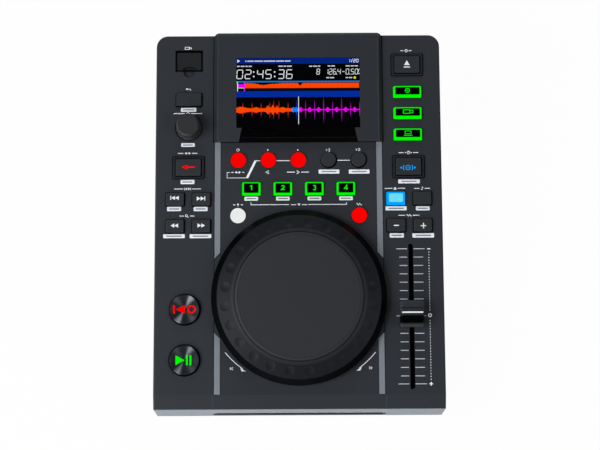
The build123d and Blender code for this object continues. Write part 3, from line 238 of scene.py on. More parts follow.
class Finish:
    """A named material whose node tree is built up step by step."""

    def __init__(self, name, sheen=0.5, **sockets):
        self.material = bpy.data.materials.new(name)
        self.material.use_nodes = True
        self.tree = self.material.node_tree
        self.shader = self.tree.nodes["Principled BSDF"]
        self.set("Specular IOR Level", sheen)
        for socket, value in sockets.items():
            self.set(socket.replace("_", " ").title().replace("Ior", "IOR"), value)

    def feed(self, target, value):
        """Links a pattern to a socket, or sets the socket to a number, a vector or a colour."""
        if isinstance(value, bpy.types.NodeSocket):
            self.tree.links.new(value, target)
        else:
            target.default_value = (*value, 1) if target.type == "RGBA" else value

    def set(self, socket, value):
        """The same for one of the shader's own sockets."""
        self.feed(self.shader.inputs[socket], value)

    def node(self, kind, values=None, **fields):
        """Adds a node with its fields and inputs."""
        made = self.tree.nodes.new(kind)
        for field, value in fields.items():
            setattr(made, field, value)
        for socket, value in (values or {}).items():
            self.feed(made.inputs[socket], value)
        return made

    def place(self, middle=None, tilt=0):
        """Object coordinates, moved to a middle point and tilted about X."""
        source = self.node("ShaderNodeTexCoord").outputs["Object"]
        if middle is None:
            return source
        values = {"Vector": source, "Location": middle, "Rotation": (tilt, 0, 0)}
        return self.node("ShaderNodeMapping", values, vector_type="TEXTURE").outputs[0]

    def axis(self, letter, middle=None, tilt=0):
        """One of those coordinates."""
        return self.node("ShaderNodeSeparateXYZ", {0: self.place(middle, tilt)}).outputs[letter]

    def polar(self, x, row):
        """Distance from an axis that stands on the deck, and the angle round it."""
        across, along = (self.axis(letter, deck_point(x, row), SLOPE) for letter in "XY")
        squares = self.calc("ADD", self.times(across, across), self.times(along, along))
        return self.calc("SQRT", squares), self.calc("ARCTAN2", along, across)

    def noise(self, scale, detail=2, stretch=None):
        """Cloudy pattern from 0 to 1, stretched along chosen axes."""
        source = self.place()
        if stretch:
            source = self.node("ShaderNodeMapping", {"Vector": source, "Scale": stretch}).outputs[0]
        values = {"Vector": source, "Scale": scale, "Detail": detail, "Roughness": 0.55}
        return self.node("ShaderNodeTexNoise", values).outputs["Fac"]

    def calc(self, operation, first, second=0, third=0):
        """One arithmetic step."""
        return self.node("ShaderNodeMath", {0: first, 1: second, 2: third}, operation=operation).outputs[0]

    def times(self, first, second):
        """Product of two patterns or numbers."""
        return self.calc("MULTIPLY", first, second)

    def spread(self, source, low, high, start=0, end=1):
        """Maps a pattern to a range."""
        values = {"Value": source, "From Min": start, "From Max": end, "To Min": low, "To Max": high}
        return self.node("ShaderNodeMapRange", values).outputs[0]

    def rise(self, source, start, end, high=1):
        """Climbs from 0 as the source goes from start to end."""
        return self.spread(source, 0, high, start, end)

    def fall(self, source, start, end):
        """Drops from 1 to 0 as the source goes from start to end."""
        return self.spread(source, 1, 0, start, end)

    def hump(self, source, start, full, fade, end, high=1):
        """Climbs between the first two places and drops between the last two."""
        return self.times(self.fall(source, fade, end), self.rise(source, start, full, high))

    def blend(self, share, first, second):
        """Mixes two colours by a pattern."""
        return self.node("ShaderNodeMix", {0: share, 6: first, 7: second}, data_type="RGBA").outputs[2]

    def tint(self, share, first, second):
        """Base colour mixed by a pattern."""
        self.set("Base Color", self.blend(share, first, second))

    def gloss(self, source, low, high):
        """Roughness between two values by a pattern."""
        self.set("Roughness", self.spread(source, low, high))

    def relief(self, height, strength, depth):
        """Raises the surface by a pattern, depth in metres, and gives the finished material."""
        made = self.node("ShaderNodeBump", {"Height": height, "Strength": strength, "Distance": depth})
        self.set("Normal", made.outputs[0])
        return self.material


SHADE = 0.12  # swing of tone in plastic and metal
TURN = 2 * math.pi  # a full turn or wave


def moulded(name, colour, roughness, grain=2400, depth=4e-5, **sockets):
    """Moulded plastic: spark-eroded grain, and a slow drift of tone and gloss."""
    made = Finish(name, **sockets)
    fine, slow = made.noise(grain), made.noise(9)
    both = made.calc("MULTIPLY_ADD", fine, 0.6, made.times(slow, 0.4))
    made.tint(both, toned(colour, 1 - SHADE), toned(colour, 1 + SHADE))
    made.gloss(slow, roughness - 0.04, roughness + 0.04)
    return made.relief(fine, 0.35, depth)


def lit(name, colour, waver=0.04):
    """Translucent key cap lit from below, a little brighter in patches."""
    made = Finish(name, base_color=(0, 0, 0), sheen=0, emission_color=colour)
    made.gloss(made.noise(900, 3), 0.42, 0.52)
    made.set("Emission Strength", made.spread(made.noise(140, 1), 1 - waver, 1 + waver))
    return made.relief(made.noise(2600), 0.2, 2e-5)


def ink(name, colour, sheen=0.3):
    """Screen-printed ink, slightly uneven."""
    made = Finish(name, sheen)
    patchy = made.noise(1500)
    made.tint(patchy, toned(colour, 0.94), colour)
    made.gloss(patchy, 0.5, 0.62)
    return made.material


def pixels(name, colour):
    """Lit screen area: a faint grid of picture cells a fifth of a millimetre apart."""
    made = Finish(name, base_color=(0, 0, 0), roughness=0.5, sheen=0, emission_color=colour)
    wave = made.calc("SINE", made.times(made.axis("X"), TURN / 0.0002))
    made.set("Emission Strength", made.spread(wave, 0.97, 1.03, -1, 1))
    return made.material


def sheet_metal(name, colour, roughness, stretch=(1, 40, 40)):
    """Rolled or brushed metal: fine parallel scratches."""
    made = Finish(name, metallic=1)
    scratch = made.noise(700, 4, stretch)
    made.tint(scratch, toned(colour, 1 - SHADE), colour)
    made.gloss(scratch, roughness, roughness + 0.14)
    return made.relief(scratch, 0.15, 2e-5)


def satin_paint(name, colour, roughness, metallic=0):
    """Sprayed satin paint: orange peel and a faint fleck."""
    made = Finish(name, metallic=metallic)
    peel = made.noise(520)
    made.tint(made.noise(4200, 1), toned(colour, 0.9), toned(colour, 1.06))
    made.gloss(peel, roughness - 0.05, roughness + 0.05)
    return made.relief(peel, 0.12, 3e-5)


def dotted_strip():
    """Printed inlay: pale silver ground with staggered dark dots, a product of two sines."""
    made = Finish("dotted inlay", metallic=0.2)
    turns = [made.times(made.axis(letter, deck_point(0, 0), SLOPE), TURN / 0.00085) for letter in "XY"]
    dots = made.spread(made.times(*(made.calc("SINE", turn) for turn in turns)), 0, 1, 0.05, 0.6)
    made.tint(dots, (0.3, 0.328, 0.37), (0.085, 0.095, 0.11))
    made.gloss(dots, 0.38, 0.55)
    return made.relief(dots, 0.25, 2e-5)


# Where the tone of a surface changes, in metres from its middle, and the near-black it changes to.
# black rim painted at the edge of the large keys as the shade of the gap round them
KEY_SHADE_RIM = (0.0109, 0.0112)
# reach over which the painted glints of the large keys grow
PAINTED_GLINT_REACH = (0.001, 0.0085)
# fader knob: painted shade in the hollow
KNOB_PAINTED_SHADE = (-0.0078, -0.0066, -0.0022, -0.0012)
# fader knob: painted highlight on the front lip and on the slope behind the ridge
KNOB_LIP_HIGHLIGHT, KNOB_SLOPE_HIGHLIGHT = (-0.0082, -0.0072), (0.0012, 0.0025)
KNOB_LINES = ((0.00175, 0.0002), (0.0043, 0.00025))  # middle and half width
# screen frame: a painted highlight along the crest, then painted shade on the side bevels
FRAME_HIGHLIGHT_AND_SHADE = (0.0611, 0.0617, 0.0624, 0.0628)
# first: slope next to the touch plate that carries a painted sheen; second: where the face turns to the bevel
WHEEL_SLOPE_SHEEN, WHEEL_SHOULDER = (0.0507, 0.0520), (0.0616, 0.0621)
PLATE_LINE, PLATE_EDGE = (0.0458, 0.0459, 0.0462, 0.0463), (0.0480, 0.0482)
# near-blacks: painted gap shade on the large keys, painted shade in the fader knob's hollow, and dark lines
RIM_SHADE_BLACK, HOLLOW_SHADE_BLACK, LINE_BLACK = (0.001, 0.001, 0.0012), (0.001, 0.001, 0.0013), (0.002, 0.002, 0.0025)
# painted highlights: glints of the large keys drawn into their base colour
PAINTED_GLINTS = ((64, 80, 1), (52, 110, 0.4), (130, 30, 0.22), (-4, 20, 0.06))  # degrees, power, share

JOG_ROW = 73.1
BIG_X, CUE_ROW, PLAY_ROW = -86.6, 64.3, 26.1  # the two large round keys
FADER_X, FADER_ROW = 85, 58.8


def spun(name, bright, row):
    """Lathe-turned face: fine rings about the key's middle, crossed glints painted into the colour as painted
    highlights, and a black rim painted as the shade of the gap round the key. A glint's strength is a high
    power of the cosine of the angle from its line."""
    made = Finish(name, metallic=0.9)
    radius, angle = made.polar(BIG_X, row)
    # painted highlights: each glint is a bright line painted across the face
    painted_glint = 0
    for line, power, share in PAINTED_GLINTS:
        swing = made.calc("ABSOLUTE", made.calc("COSINE", made.calc("SUBTRACT", angle, math.radians(line))))
        painted_glint = made.calc("ADD", made.times(made.calc("POWER", swing, power), share), painted_glint)
    painted_glint = made.times(painted_glint, made.spread(radius, 0.25, 1, *PAINTED_GLINT_REACH))
    outward = made.node("ShaderNodeCombineXYZ", {0: radius}).outputs[0]
    rings = made.node("ShaderNodeTexNoise", {"Vector": outward, "Scale": 1800}).outputs["Fac"]
    face = made.blend(made.times(painted_glint, made.spread(rings, 0.75, 1.1)), (0.024, 0.026, 0.03), bright)
    # black rim painted as the shade of the gap round the key
    made.tint(made.rise(radius, *KEY_SHADE_RIM), face, RIM_SHADE_BLACK)
    made.gloss(rings, 0.42, 0.54)
    fine = made.calc("SINE", made.times(radius, TURN / 0.00022))
    return made.relief(made.calc("MULTIPLY_ADD", fine, 0.5, rings), 0.3, 2e-5)


def fader_moulding(name, colour):
    """Fader knob: satin plastic with a painted highlight behind the ridge and on the front lip, painted shade near
    black in the hollow between them, and two dark lines behind the ridge."""
    made = Finish(name, sheen=0.25)
    run = made.axis("Y", deck_point(FADER_X, FADER_ROW + 1.2), SLOPE)
    # painted shade in the hollow between the lip and the ridge
    hollow = made.hump(run, *KNOB_PAINTED_SHADE)
    # painted highlight on the slope behind the ridge and on the front lip
    pale = made.calc("MAXIMUM", made.rise(run, *KNOB_SLOPE_HIGHLIGHT), made.fall(run, *KNOB_LIP_HIGHLIGHT))
    fine = made.noise(1800)
    base = made.blend(pale, made.blend(fine, toned(colour, 0.9), colour), toned(colour, 1.5))
    for middle, half in KNOB_LINES:
        away = made.calc("ABSOLUTE", made.calc("SUBTRACT", run, middle))
        base = made.blend(made.spread(away, 0.85, 0, half, half * 1.6), base, LINE_BLACK)
    made.tint(made.times(hollow, 0.93), base, HOLLOW_SHADE_BLACK)
    made.set("Metallic", made.times(hollow, 0.95))
    made.gloss(fine, 0.42, 0.5)
    return made.relief(fine, 0.3, 3e-5)


def screen_frame(name, colour):
    """Frame round the screen: satin plastic with a painted highlight along the crest of each side and painted shade
    on the side bevels.
    """
    made = Finish(name, sheen=0.3)
    across = made.calc("ABSOLUTE", made.axis("X"))
    fine = made.noise(2400)
    base = made.blend(fine, toned(colour, 0.92), toned(colour, 1.06))
    # painted highlight along the crest of each side
    base = made.blend(made.times(made.hump(across, *FRAME_HIGHLIGHT_AND_SHADE), 0.8), base, toned(colour, 1.6))
    # painted shade on the side bevels
    made.tint(made.rise(across, *FRAME_HIGHLIGHT_AND_SHADE[2:]), base, toned(colour, 0.7))
    made.gloss(fine, 0.52, 0.58)
    return made.relief(fine, 0.35, 4e-5)


def circuit_board(name, top, tilt=False):
    """Circuit board: green mask with paler tracks, and black on what stands above its top."""
    made = Finish(name)
    where = (deck_point(0, 0), SLOPE) if tilt else ()
    greens = {"Color1": (0.008, 0.07, 0.025), "Color2": (0.012, 0.1, 0.035), "Mortar": (0.03, 0.2, 0.07)}
    values = {"Vector": made.place(*where), "Scale": 160, "Mortar Size": 0.04, **greens}
    tracks = made.node("ShaderNodeTexBrick", values).outputs["Color"]
    above = made.calc("GREATER_THAN", made.axis("Z", *where), top)
    made.tint(above, tracks, made.blend(made.noise(260, 1), (0.012, 0.012, 0.013), (0.05, 0.05, 0.055)))
    made.gloss(made.noise(600, 3), 0.3, 0.5)
    return made.relief(made.noise(1500), 0.2, 3e-5)


def clear_glass(name):
    """Clear window with a faint polishing haze."""
    made = Finish(name, base_color=(1, 1, 1), transmission_weight=1, ior=1.45)
    made.gloss(made.noise(60, 3), 0, 0.012)
    return made.material


def wheel_moulding(name, face, rim):
    """Wheel body: satin face, a painted sheen on the slope next to the plate, and a near-black bevel from the
    shoulder on.
    """
    made = Finish(name, sheen=0.12)
    radius, _ = made.polar(0, JOG_ROW)
    outside = made.rise(radius, *WHEEL_SHOULDER)
    slow = made.noise(14)
    colour = made.blend(slow, toned(face, 0.85), face)
    # painted sheen on the slope next to the plate
    made.tint(outside, made.blend(made.fall(radius, *WHEEL_SLOPE_SHEEN), colour, toned(face, 1.9)), rim)
    made.set("Metallic", outside)
    made.set("Roughness", made.calc("ADD", made.spread(slow, 0.42, 0.48), made.times(outside, 0.06)))
    return made.relief(made.noise(3000), 0.25, 3e-5)


def wheel_plate(name, colour):
    """Touch plate: matt moulding with a black line round its edge and a faint one inside it."""
    made = Finish(name, sheen=0.3)
    radius, _ = made.polar(0, JOG_ROW)
    fine = made.noise(3200)
    edge = made.calc("MAXIMUM", made.rise(radius, *PLATE_EDGE), made.hump(radius, *PLATE_LINE, 0.55))
    made.tint(edge, made.blend(fine, toned(colour, 0.94), toned(colour, 1.06)), LINE_BLACK)
    made.gloss(made.noise(9), 0.56, 0.64)
    return made.relief(fine, 0.3, 3e-5)


GREY = (0.0205, 0.0237, 0.0298)
BLACK_PAINT, DARK_PLASTIC, BLACK_PLASTIC = (0.018, 0.019, 0.021), (0.04, 0.04, 0.042), (0.03, 0.03, 0.03)
GREEN, RED, BLUE = (0, 0.965, 0), (1, 0, 0), (0, 0.366, 1)
finishes = {
    "shell": moulded("satin shell plastic", GREY, 0.58, sheen=0.3),
    "tray": satin_paint("powder coated steel", BLACK_PAINT, 0.6),
    "fascia": satin_paint("silver front plate", (0.33, 0.362, 0.402), 0.46, 0.3),
    "panel": satin_paint("black rear panel", BLACK_PAINT, 0.55),
    "socket_body": moulded("black socket plastic", (0.018, 0.018, 0.019), 0.42),
    "rocker": moulded("gloss rocker plastic", (0.012, 0.012, 0.013), 0.2, depth=1e-5),
    "foot_rubber": moulded("foot rubber", (0.02, 0.02, 0.021), 0.8, grain=1200, depth=8e-5),
    "screw_steel": sheet_metal("blackened steel", (0.12, 0.12, 0.125), 0.32, (1, 1, 1)),
    "surround": screen_frame("satin screen frame plastic", GREY),
    "window": clear_glass("clear screen window"),
    "module": sheet_metal("display frame steel", (0.55, 0.56, 0.57), 0.3),
    "trim": dotted_strip(),
    "bezel": moulded("satin key frame plastic", toned(GREY, 0.62), 0.55, sheen=0.2),
    "jog_body": wheel_moulding("jog wheel moulding", (0.0105, 0.0118, 0.0148), (0.004, 0.0045, 0.006)),
    "jog_top": wheel_plate("soft jog plate", (0.0205, 0.0228, 0.0262)),
    "bearing": moulded("bearing nylon", (0.62, 0.6, 0.55), 0.45),
    "encoder": moulded("encoder plastic", (0.03, 0.03, 0.032), 0.45),
    "shaft_steel": sheet_metal("turned steel", (0.6, 0.6, 0.61), 0.25, (1, 1, 1)),
    "knob": moulded("soft touch knob", (0.017, 0.018, 0.02), 0.5, grain=1800),
    "fader_frame": sheet_metal("blackened fader frame", (0.012, 0.012, 0.013), 0.5),
    "fader_knob": fader_moulding("fader knob plastic", (0.02, 0.0225, 0.027)),
    "board": circuit_board("main board", 0.0158),
    "switch": moulded("push switch plastic", (0.03, 0.03, 0.031), 0.5),
    "socket_shell": sheet_metal("nickel plated shell", (0.7, 0.7, 0.69), 0.22, (40, 1, 1)),
    "lid": moulded("lid rubber", (0.0075, 0.009, 0.011), 0.6, grain=1600, depth=6e-5, sheen=0.25),
    "drive_sheet": sheet_metal("galvanised drive sheet", (0.52, 0.54, 0.55), 0.34),
    "turntable": moulded("turntable plastic", BLACK_PLASTIC, 0.4),
    "clamp": moulded("clamp plastic", DARK_PLASTIC, 0.4),
    "roller_rubber": moulded("roller rubber", BLACK_PLASTIC, 0.75, grain=1200),
    "sled": moulded("sled plastic", DARK_PLASTIC, 0.4),
    "key_dark": moulded("satin key plastic", (0.0205, 0.023, 0.0268), 0.52, sheen=0.35),
    "key_green": lit("green lit key", GREEN),
    "key_red": lit("red lit key", RED),
    "key_white": lit("white lit key", (0.82, 0.83, 0.84)),
    "key_blue": lit("blue lit key", BLUE),
}
white_ink = ink("white ink", (0.88, 0.92, 0.97))
grey_ink = ink("grey ink", (0.6, 0.63, 0.68))
# near black: the printed middles of lit keys, and painted shade in gaps and joints
black_print_and_shade_ink = ink("black print and shade ink", (0.0015, 0.0015, 0.0018), 0)
dark_ink = ink("dark label ink", (0.2, 0.21, 0.23))
seam_ink = ink("slope seam ink", (0.05, 0.055, 0.065))
strip_black = ink("black window border", (0.002, 0.002, 0.0022), 0)
red_light, green_light, blue_light = lit("red lit mark", RED), lit("green lit mark", GREEN), lit("blue lit mark", BLUE)
pale_blue_light = lit("pale blue lit centre", (0.16, 0.72, 0.93), 0.1)

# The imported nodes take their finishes.
slot_of = {part["node"]: part["material_slot"] for part in frame["record"]["subparts"]}
special = {
    "control_boards": circuit_board("control board", -0.0122, True),
    "cue_key": spun("spun cue key with painted glints", (0.46, 0.48, 0.53), CUE_ROW),
    "play_key": spun("spun play key with painted glints", (0.34, 0.36, 0.4), PLAY_ROW),
}
for node, part in frame["nodes"].items():
    part.data.materials.clear()
    part.data.materials.append(special.get(node) or finishes[slot_of[node]])

# ---- printed marks on the deck ----

COLUMN_X = 84.5  # middle of the key columns, left and right
HOT_CUES = {f"hot_cue_key_{number}": x for number, x in enumerate((-36.25, -12.083, 12.083, 36.25), 1)}
SOURCE_ROWS = {"source_key_disc": 232.293, "source_key_stick": 215.493, "source_key_computer": 198.693}
FRAMED_ROW, EJECT_ROW, BACK_ROW, LID_ROW, KNOB_ROW = 173.5, 253.793, 226.793, 257.593, 204.893
LOOP_ROW, SHIFT_ROW, KEY_HOLE = 179.2, 136.1, 5.95
SINK = -0.01  # printed marks reach this far into the surface
INK, SIGN_INK, CROSS_INK, RULE_INK = ((SINK, LIFT + over) for over in (0, 0.004, 0.005, 0.01))
# heights of the dark lines that paint shade and shadow into gaps and joints
GAP_SHADE, CROSS_GAP_SHADE = (SINK, 0.015), (SINK, 0.019)
LINE, SIGN_LINE = 0.55, 0.42  # widths of printed lines

# label pills: middle x, row, width, depth
PILLS = [
    (-84.7, 218.9, 12.5, 3.5), (-85, 191.2, 11, 3.3), (-85.2, 162.3, 11.2, 3.7),
    (-95.3, 141.4, 11.2, 3.7), (-75, 141.3, 11.2, 3.7), (-95.2, 120.4, 17, 3.5), (-75, 120.3, 17, 3.5),
    (84.7, 162, 17, 3.5), (74.5, 141.1, 16.7, 3.6), (94.9, 141, 11, 3.6),
    (74.7, 120.2, 11.3, 3.8), (94.9, 120.1, 17, 3.8), (23.4, 169.9, 16.4, 3.6), (46.6, 169.8, 16.4, 3.6),
    *((x, 149.1, 11, 3.5) for x in HOT_CUES.values()),
]
piece("label_pills", [plate(rounded(x, row, w - 0.5, d - 0.4, 0.6), *INK) for x, row, w, d in PILLS], white_ink)

marks = [
    stroke(path, LINE, *INK) for path in (
        [(-32.4, 178.6), (-29.4, 178.6)],
        [(-16.9, 178.6), (-6.6, 178.6)],
        [(29.8, 178.7), (39.6, 178.7)],
        [(-36.46, 146), (-36.46, 144.4), (-7.4, 144.4)],
        [(7.5, 144.4), (36.6, 144.4), (36.6, 146)],
    )
]
marks.append(stroke([(-52.6, 169.6), (-54.75, 169.6), (-54.75, 165.3), (-40, 165.3)], 0.4, *INK))
marks.append(plate([(-40.5, 165.1), (-38.6, 165.1), (-31.9, 178.88), (-33.8, 178.88)], *CROSS_INK))
# curved arrows beside the wheel: reach from its axis and turn at both ends, side, and shift of the head
for reaches, turns, side, shift in (
    ((69.5, 68.5), (-143.6, -128.5), -1, (0, 0)), ((70.9, 69.8), (-35.9, -50), 1, (2.4, 0.3)),
):
    reach, turn = np.linspace(*reaches, 17), np.radians(np.linspace(*turns, 17))
    path = np.column_stack([reach * np.cos(turn), JOG_ROW + reach * np.sin(turn)])
    marks.append(stroke(path, LINE, *INK))
    head = np.array([(40.4, 17.5), (44.5, 20.4), (43.5, 17.7)]) * (side, 1) + shift
    marks.append(plate(head, *CROSS_INK))
piece("deck_lines", marks, white_ink)

# ---- small signs over the keys ----


def pair(*corners):
    """A line and its mirror image."""
    return [corners, [(-x, row) for x, row in corners]]


TWO = [(0.3, 0.6), (0.7, 0.95), (1.3, 0.8), (1.4, 0.3), (0.3, -0.9), (1.6, -0.9)]
RIPPLE = np.linspace(-2, 2, 17)
# open lines, closed lines and filled outlines of each sign, about 2.2 high
SIGNS = {
    "stick": ([], [rounded(-0.9, 0, 3, 1.8, 0.2), rounded(1.7, 0, 1.4, 1.1)], []),
    "return": ([[(1.8, -0.9), (1.8, 0.4), (-0.6, 0.4)]], [], [[(-0.5, 1.3), (-2, 0.4), (-0.5, -0.5)]]),
    "turn": ([arc(0, 0, 0.95, 60, 330, 14)], [], [[(1.6, -0.2), (0.2, -0.2), (0.9, 0.9)]]),
    "both_ways": ([[(-0.9, 0), (0.9, 0)]], [], pair((-0.8, 1), (-2.4, 0), (-0.8, -1))),
    "skip": (pair((-2.3, -1), (-2.3, 1)), [], pair((-0.4, 1), (-2, 0), (-0.4, -1))),
    "glass": ([[(0.1, -0.35), (1.2, -1.1)]], [circle(-0.5, 0.25, 0.8, 14)], []),
    "disc": ([], [circle(0, 0, 1, 16)], [circle(0, 0, 0.35, 8)]),
    "wheel": ([[(0, 0.1), (0, 0.9)]], [circle(0, 0, 1.05, 16)], pair((-2.6, 0.7), (-2.6, -0.7), (-1.6, 0))),
    "lock": ([arc(0, 0.15, 0.62, 0, 180, 10)], [], [rounded(0, -0.5, 2.1, 1.3, 0.2)]),
    "note": ([[(0.25, -0.7), (0.25, 1.1), (1, 0.6)]], [], [circle(-0.2, -0.75, 0.5, 10)]),
    "up": ([[(0, -1.1), (0, 0.2)]], [], [[(-1.1, 0), (1.1, 0), (0, 1.2)]]),
    "wave": ([np.column_stack([RIPPLE, 0.7 * np.sin(RIPPLE * 3.1)])], [], []),
    "point": ([], [], [[(-1.2, 0.9), (1.2, 0.9), (0, -1)]]),
    "in": ([[(1.1, 1), (0.1, 1), (0.1, -1), (1.1, -1)]], [], [[(-1.4, 0.7), (-1.4, -0.7), (-0.4, 0)]]),
    "out": ([[(-1.1, 1), (-0.1, 1), (-0.1, -1), (-1.1, -1)]], [], [[(0.4, 0.7), (0.4, -0.7), (1.4, 0)]]),
    "back": ([[(0, 1), (-0.9, 0), (0, -1)], [(1.3, 1), (0.4, 0), (1.3, -1)]], [], []),
    "ahead": ([[(0, 1), (0.9, 0), (0, -1)], [(-1.3, 1), (-0.4, 0), (-1.3, -1)]], [], []),
    "dot": ([], [], [circle(0, 0, 0.6, 10)]),
    "halve": ([[(-1.9, 0), (-0.5, 0)], TWO], [], [circle(-1.2, 0.65, 0.22, 8), circle(-1.2, -0.65, 0.22, 8)]),
    "double": ([[(-1.8, 0.6), (-0.7, -0.6)], [(-1.8, -0.6), (-0.7, 0.6)], TWO], [], []),
}
# sign, x, row, and the reach of the thin rules at both sides of it, where it has them
LEGENDS = (
    ("stick", -85.3, 267.9), ("return", -85.2, 234.9), ("turn", -85.2, 216, 2.4, 11),
    ("both_ways", -85.2, 184.7, 3.3, 7.5), ("skip", -85, 156.9, 3.4, 10.25), ("glass", -85.4, 135.9, 2.3, 5.7),
    ("disc", 84.1, 265.2, 2.1, 4.3), ("wheel", 84.6, 184.5, 3.6, 7.5), ("lock", 73.9, 156.6, 2, 7.8),
    ("note", 94.6, 156.5, 2, 6.1), ("wave", 84.3, 135.7, 3, 8.1), ("turn", -46.5, 187.1),
    ("dot", -23.6, 187), ("dot", -0.5, 186.9), ("halve", 22.8, 186.8), ("double", 45.9, 187.1),
    ("both_ways", -46.6, 169.6, 3.3, 5), ("in", -23.6, 169.6), ("out", -0.4, 169.6, 2.4, 8.5),
    ("up", -46.4, 144.4, 2.1, 3.7), ("wave", 46.2, 144.4), ("point", 0.3, 144.3, 2.2, 6.1),
    ("back", -51.4, 19.7), ("ahead", 53.8, 19.8),
)
marks = []
for kind, x, row, *rule in LEGENDS:
    *lines, fills = SIGNS[kind]
    for closed, paths in zip((False, True), lines):
        marks += [stroke(np.asarray(path) + (x, row), SIGN_LINE, *INK, closed) for path in paths]
    marks += [plate(np.asarray(outline) + (x, row), *SIGN_INK) for outline in fills]
    for side in (-1, 1) if rule else ():
        marks.append(bar(x + side * rule[0], x + side * rule[1], row - 0.3, row + 0.3, *INK))
piece("deck_signs", marks, white_ink)

rules = [bar(x - 0.34 * w, x + 0.34 * w, row - 0.42, row + 0.42, *RULE_INK) for x, row, w, _ in PILLS]
piece("label_rules", rules, dark_ink)

# ---- dark gaps and joints, with painted shade and painted shadows ----

# painted shadow: the dark lines round raised keys are pushed towards the right and the front, where their shadows fall
SHADOW_SHIFT = np.array([0.14, -0.14])  # gaps look wider towards the right and the front
NO_SHADOW_SHIFT = 0 * SHADOW_SHIFT


def gap_shade_frame(x, row, width, depth, thick=0.4, height=0, shift=SHADOW_SHIFT):
    """Painted shade round a rectangular opening: a dark flat frame along the gap, its outer edge pushed to one
    side as a painted shadow.
    """
    inner = rounded(x, row, width, depth, 0.8)
    outer = rounded(x, row, width + 2 * thick, depth + 2 * thick, 0.8 + thick) + shift
    return band(inner, outer, height + GAP_SHADE[0], height + GAP_SHADE[1])


def gap_shade_ring(x, row, radius, thick, shift):
    """Painted shade round a round opening: a dark ring along the gap, pushed to one side as a painted shadow."""
    return band(circle(x, row, radius, 48), circle(x, row, radius + thick, 48) + shift, *GAP_SHADE)


marks = [gap_shade_frame(x, row, 14.5, 10.5) for x in (-94.6, -74.4, 74.4, 94.6) for row in (128, 148.8)]
marks.append(gap_shade_frame(-COLUMN_X, BACK_ROW, 20, 10.8, 0.45, shift=1.5 * SHADOW_SHIFT))
marks += [gap_shade_frame(COLUMN_X, row, 21.9, 9.3, 0.25) for row in SOURCE_ROWS.values()]
marks += [gap_shade_frame(x, 156.7, 14.2, 10.4, 0.2, shift=NO_SHADOW_SHIFT) for x in HOT_CUES.values()]
for x, row in ((-COLUMN_X, FRAMED_ROW), (COLUMN_X, FRAMED_ROW), (COLUMN_X, EJECT_ROW)):
    marks.append(gap_shade_frame(x, row, 24.1, 17, 0.55, shift=NO_SHADOW_SHIFT))
    marks.append(gap_shade_frame(x, row, 20.1, 13.8, 0.35, 1.2))
marks += [gap_shade_ring(x, LOOP_ROW, KEY_HOLE, 0.4, 2 * SHADOW_SHIFT) for x in (23.1, 46.2)]
marks += [gap_shade_ring(x, LOOP_ROW, KEY_HOLE, 0.15, NO_SHADOW_SHIFT) for x in (-46.2, -23.1, 0)]
marks += [gap_shade_ring(x, SHIFT_ROW, KEY_HOLE, 0.15, NO_SHADOW_SHIFT) for x in (-46.45, 46.45)]
marks += [gap_shade_ring(BIG_X, row, 12.05, 0.12, 0.6 * SHADOW_SHIFT) for row in (CUE_ROW, PLAY_ROW)]
marks.append(gap_shade_ring(-COLUMN_X, KNOB_ROW, 10.6, 0.12, NO_SHADOW_SHIFT))
# dark joints along the inlay strips and at the foot of the screen frame, widened with painted shade
for side in (-1, 1):
    for x0, x1, row0, row1 in ((64.3, 64.75, 0.3, 192.9), (59.62, 59.82, 0.3, 192.9), (65.05, 65.6, 193, 277.4)):
        marks.append(bar(side * x0, side * x1, row0, row1, *GAP_SHADE))
marks.append(bar(-65.2, 65.2, 192.75, 193.2, *CROSS_GAP_SHADE))
piece("gap_shade_and_shadow_lines", marks, black_print_and_shade_ink)

# painted shade on the lid: a black band round its edge, wider at the rear as a painted shadow, and a dark arc painted
# as the shade in its finger notch
edge = rounded(-COLUMN_X, LID_ROW, 20.6, 16.3, 0.8)
inside = rounded(-COLUMN_X, LID_ROW, 18.6, 13.9, 1) - (0, 0.35)
notch = arc(0, 0, 1, 8, 172, 20) * (5.6, 2.6) + (-84.3, LID_ROW - 7.5)
piece("usb_cover_shade_lines", [band(inside, edge, *GAP_SHADE), stroke(notch, 0.5, *INK)], black_print_and_shade_ink, "usb_cover")
seams = [bar(side * 65.2 - 0.2, side * 65.2 + 0.2, 0.3, 10.2, *INK) for side in (-1, 1)]
piece("slope_joints", seams, seam_ink, place=front_slope)

# black print that runs from the strip under the screen down the front edge of its frame
FRAME_TOP, FRAME_FRONT, BEVEL = 3.5, 193.293, 0.6
STRIP_FRONT, STRIP_REAR, STRIP_HIGH = 196, 203.5, 0.02
top_ink = (FRAME_TOP + SINK, FRAME_TOP + STRIP_HIGH)
crease = FRAME_FRONT + BEVEL
grids = [plate([(-45.6, crease), (45.6, crease), (45.1, STRIP_FRONT), (-45.1, STRIP_FRONT)], *top_ink)]
for side in (-1, 1):
    corner = [(side * 43.55, STRIP_REAR), (side * 45.1, STRIP_FRONT), (side * 43.55, STRIP_FRONT)]
    grids.append(plate(corner, *top_ink))
piece("strip_print_top", grids, strip_black)
for name, upper, lower, run, face in (
    ("strip_print_chamfer", 45.6, 45.7, BEVEL * math.sqrt(2), tipped(crease, FRAME_TOP, 45)),
    ("strip_print_wall", 45.7, 45.9, 2.85, tipped(FRAME_FRONT, FRAME_TOP - BEVEL, 90)),
):
    outline = [(-lower, run), (lower, run), (upper, 0), (-upper, 0)]
    piece(name, [plate(outline, SINK, STRIP_HIGH)], strip_black, place=face)

# ---- scale beside the fader ----

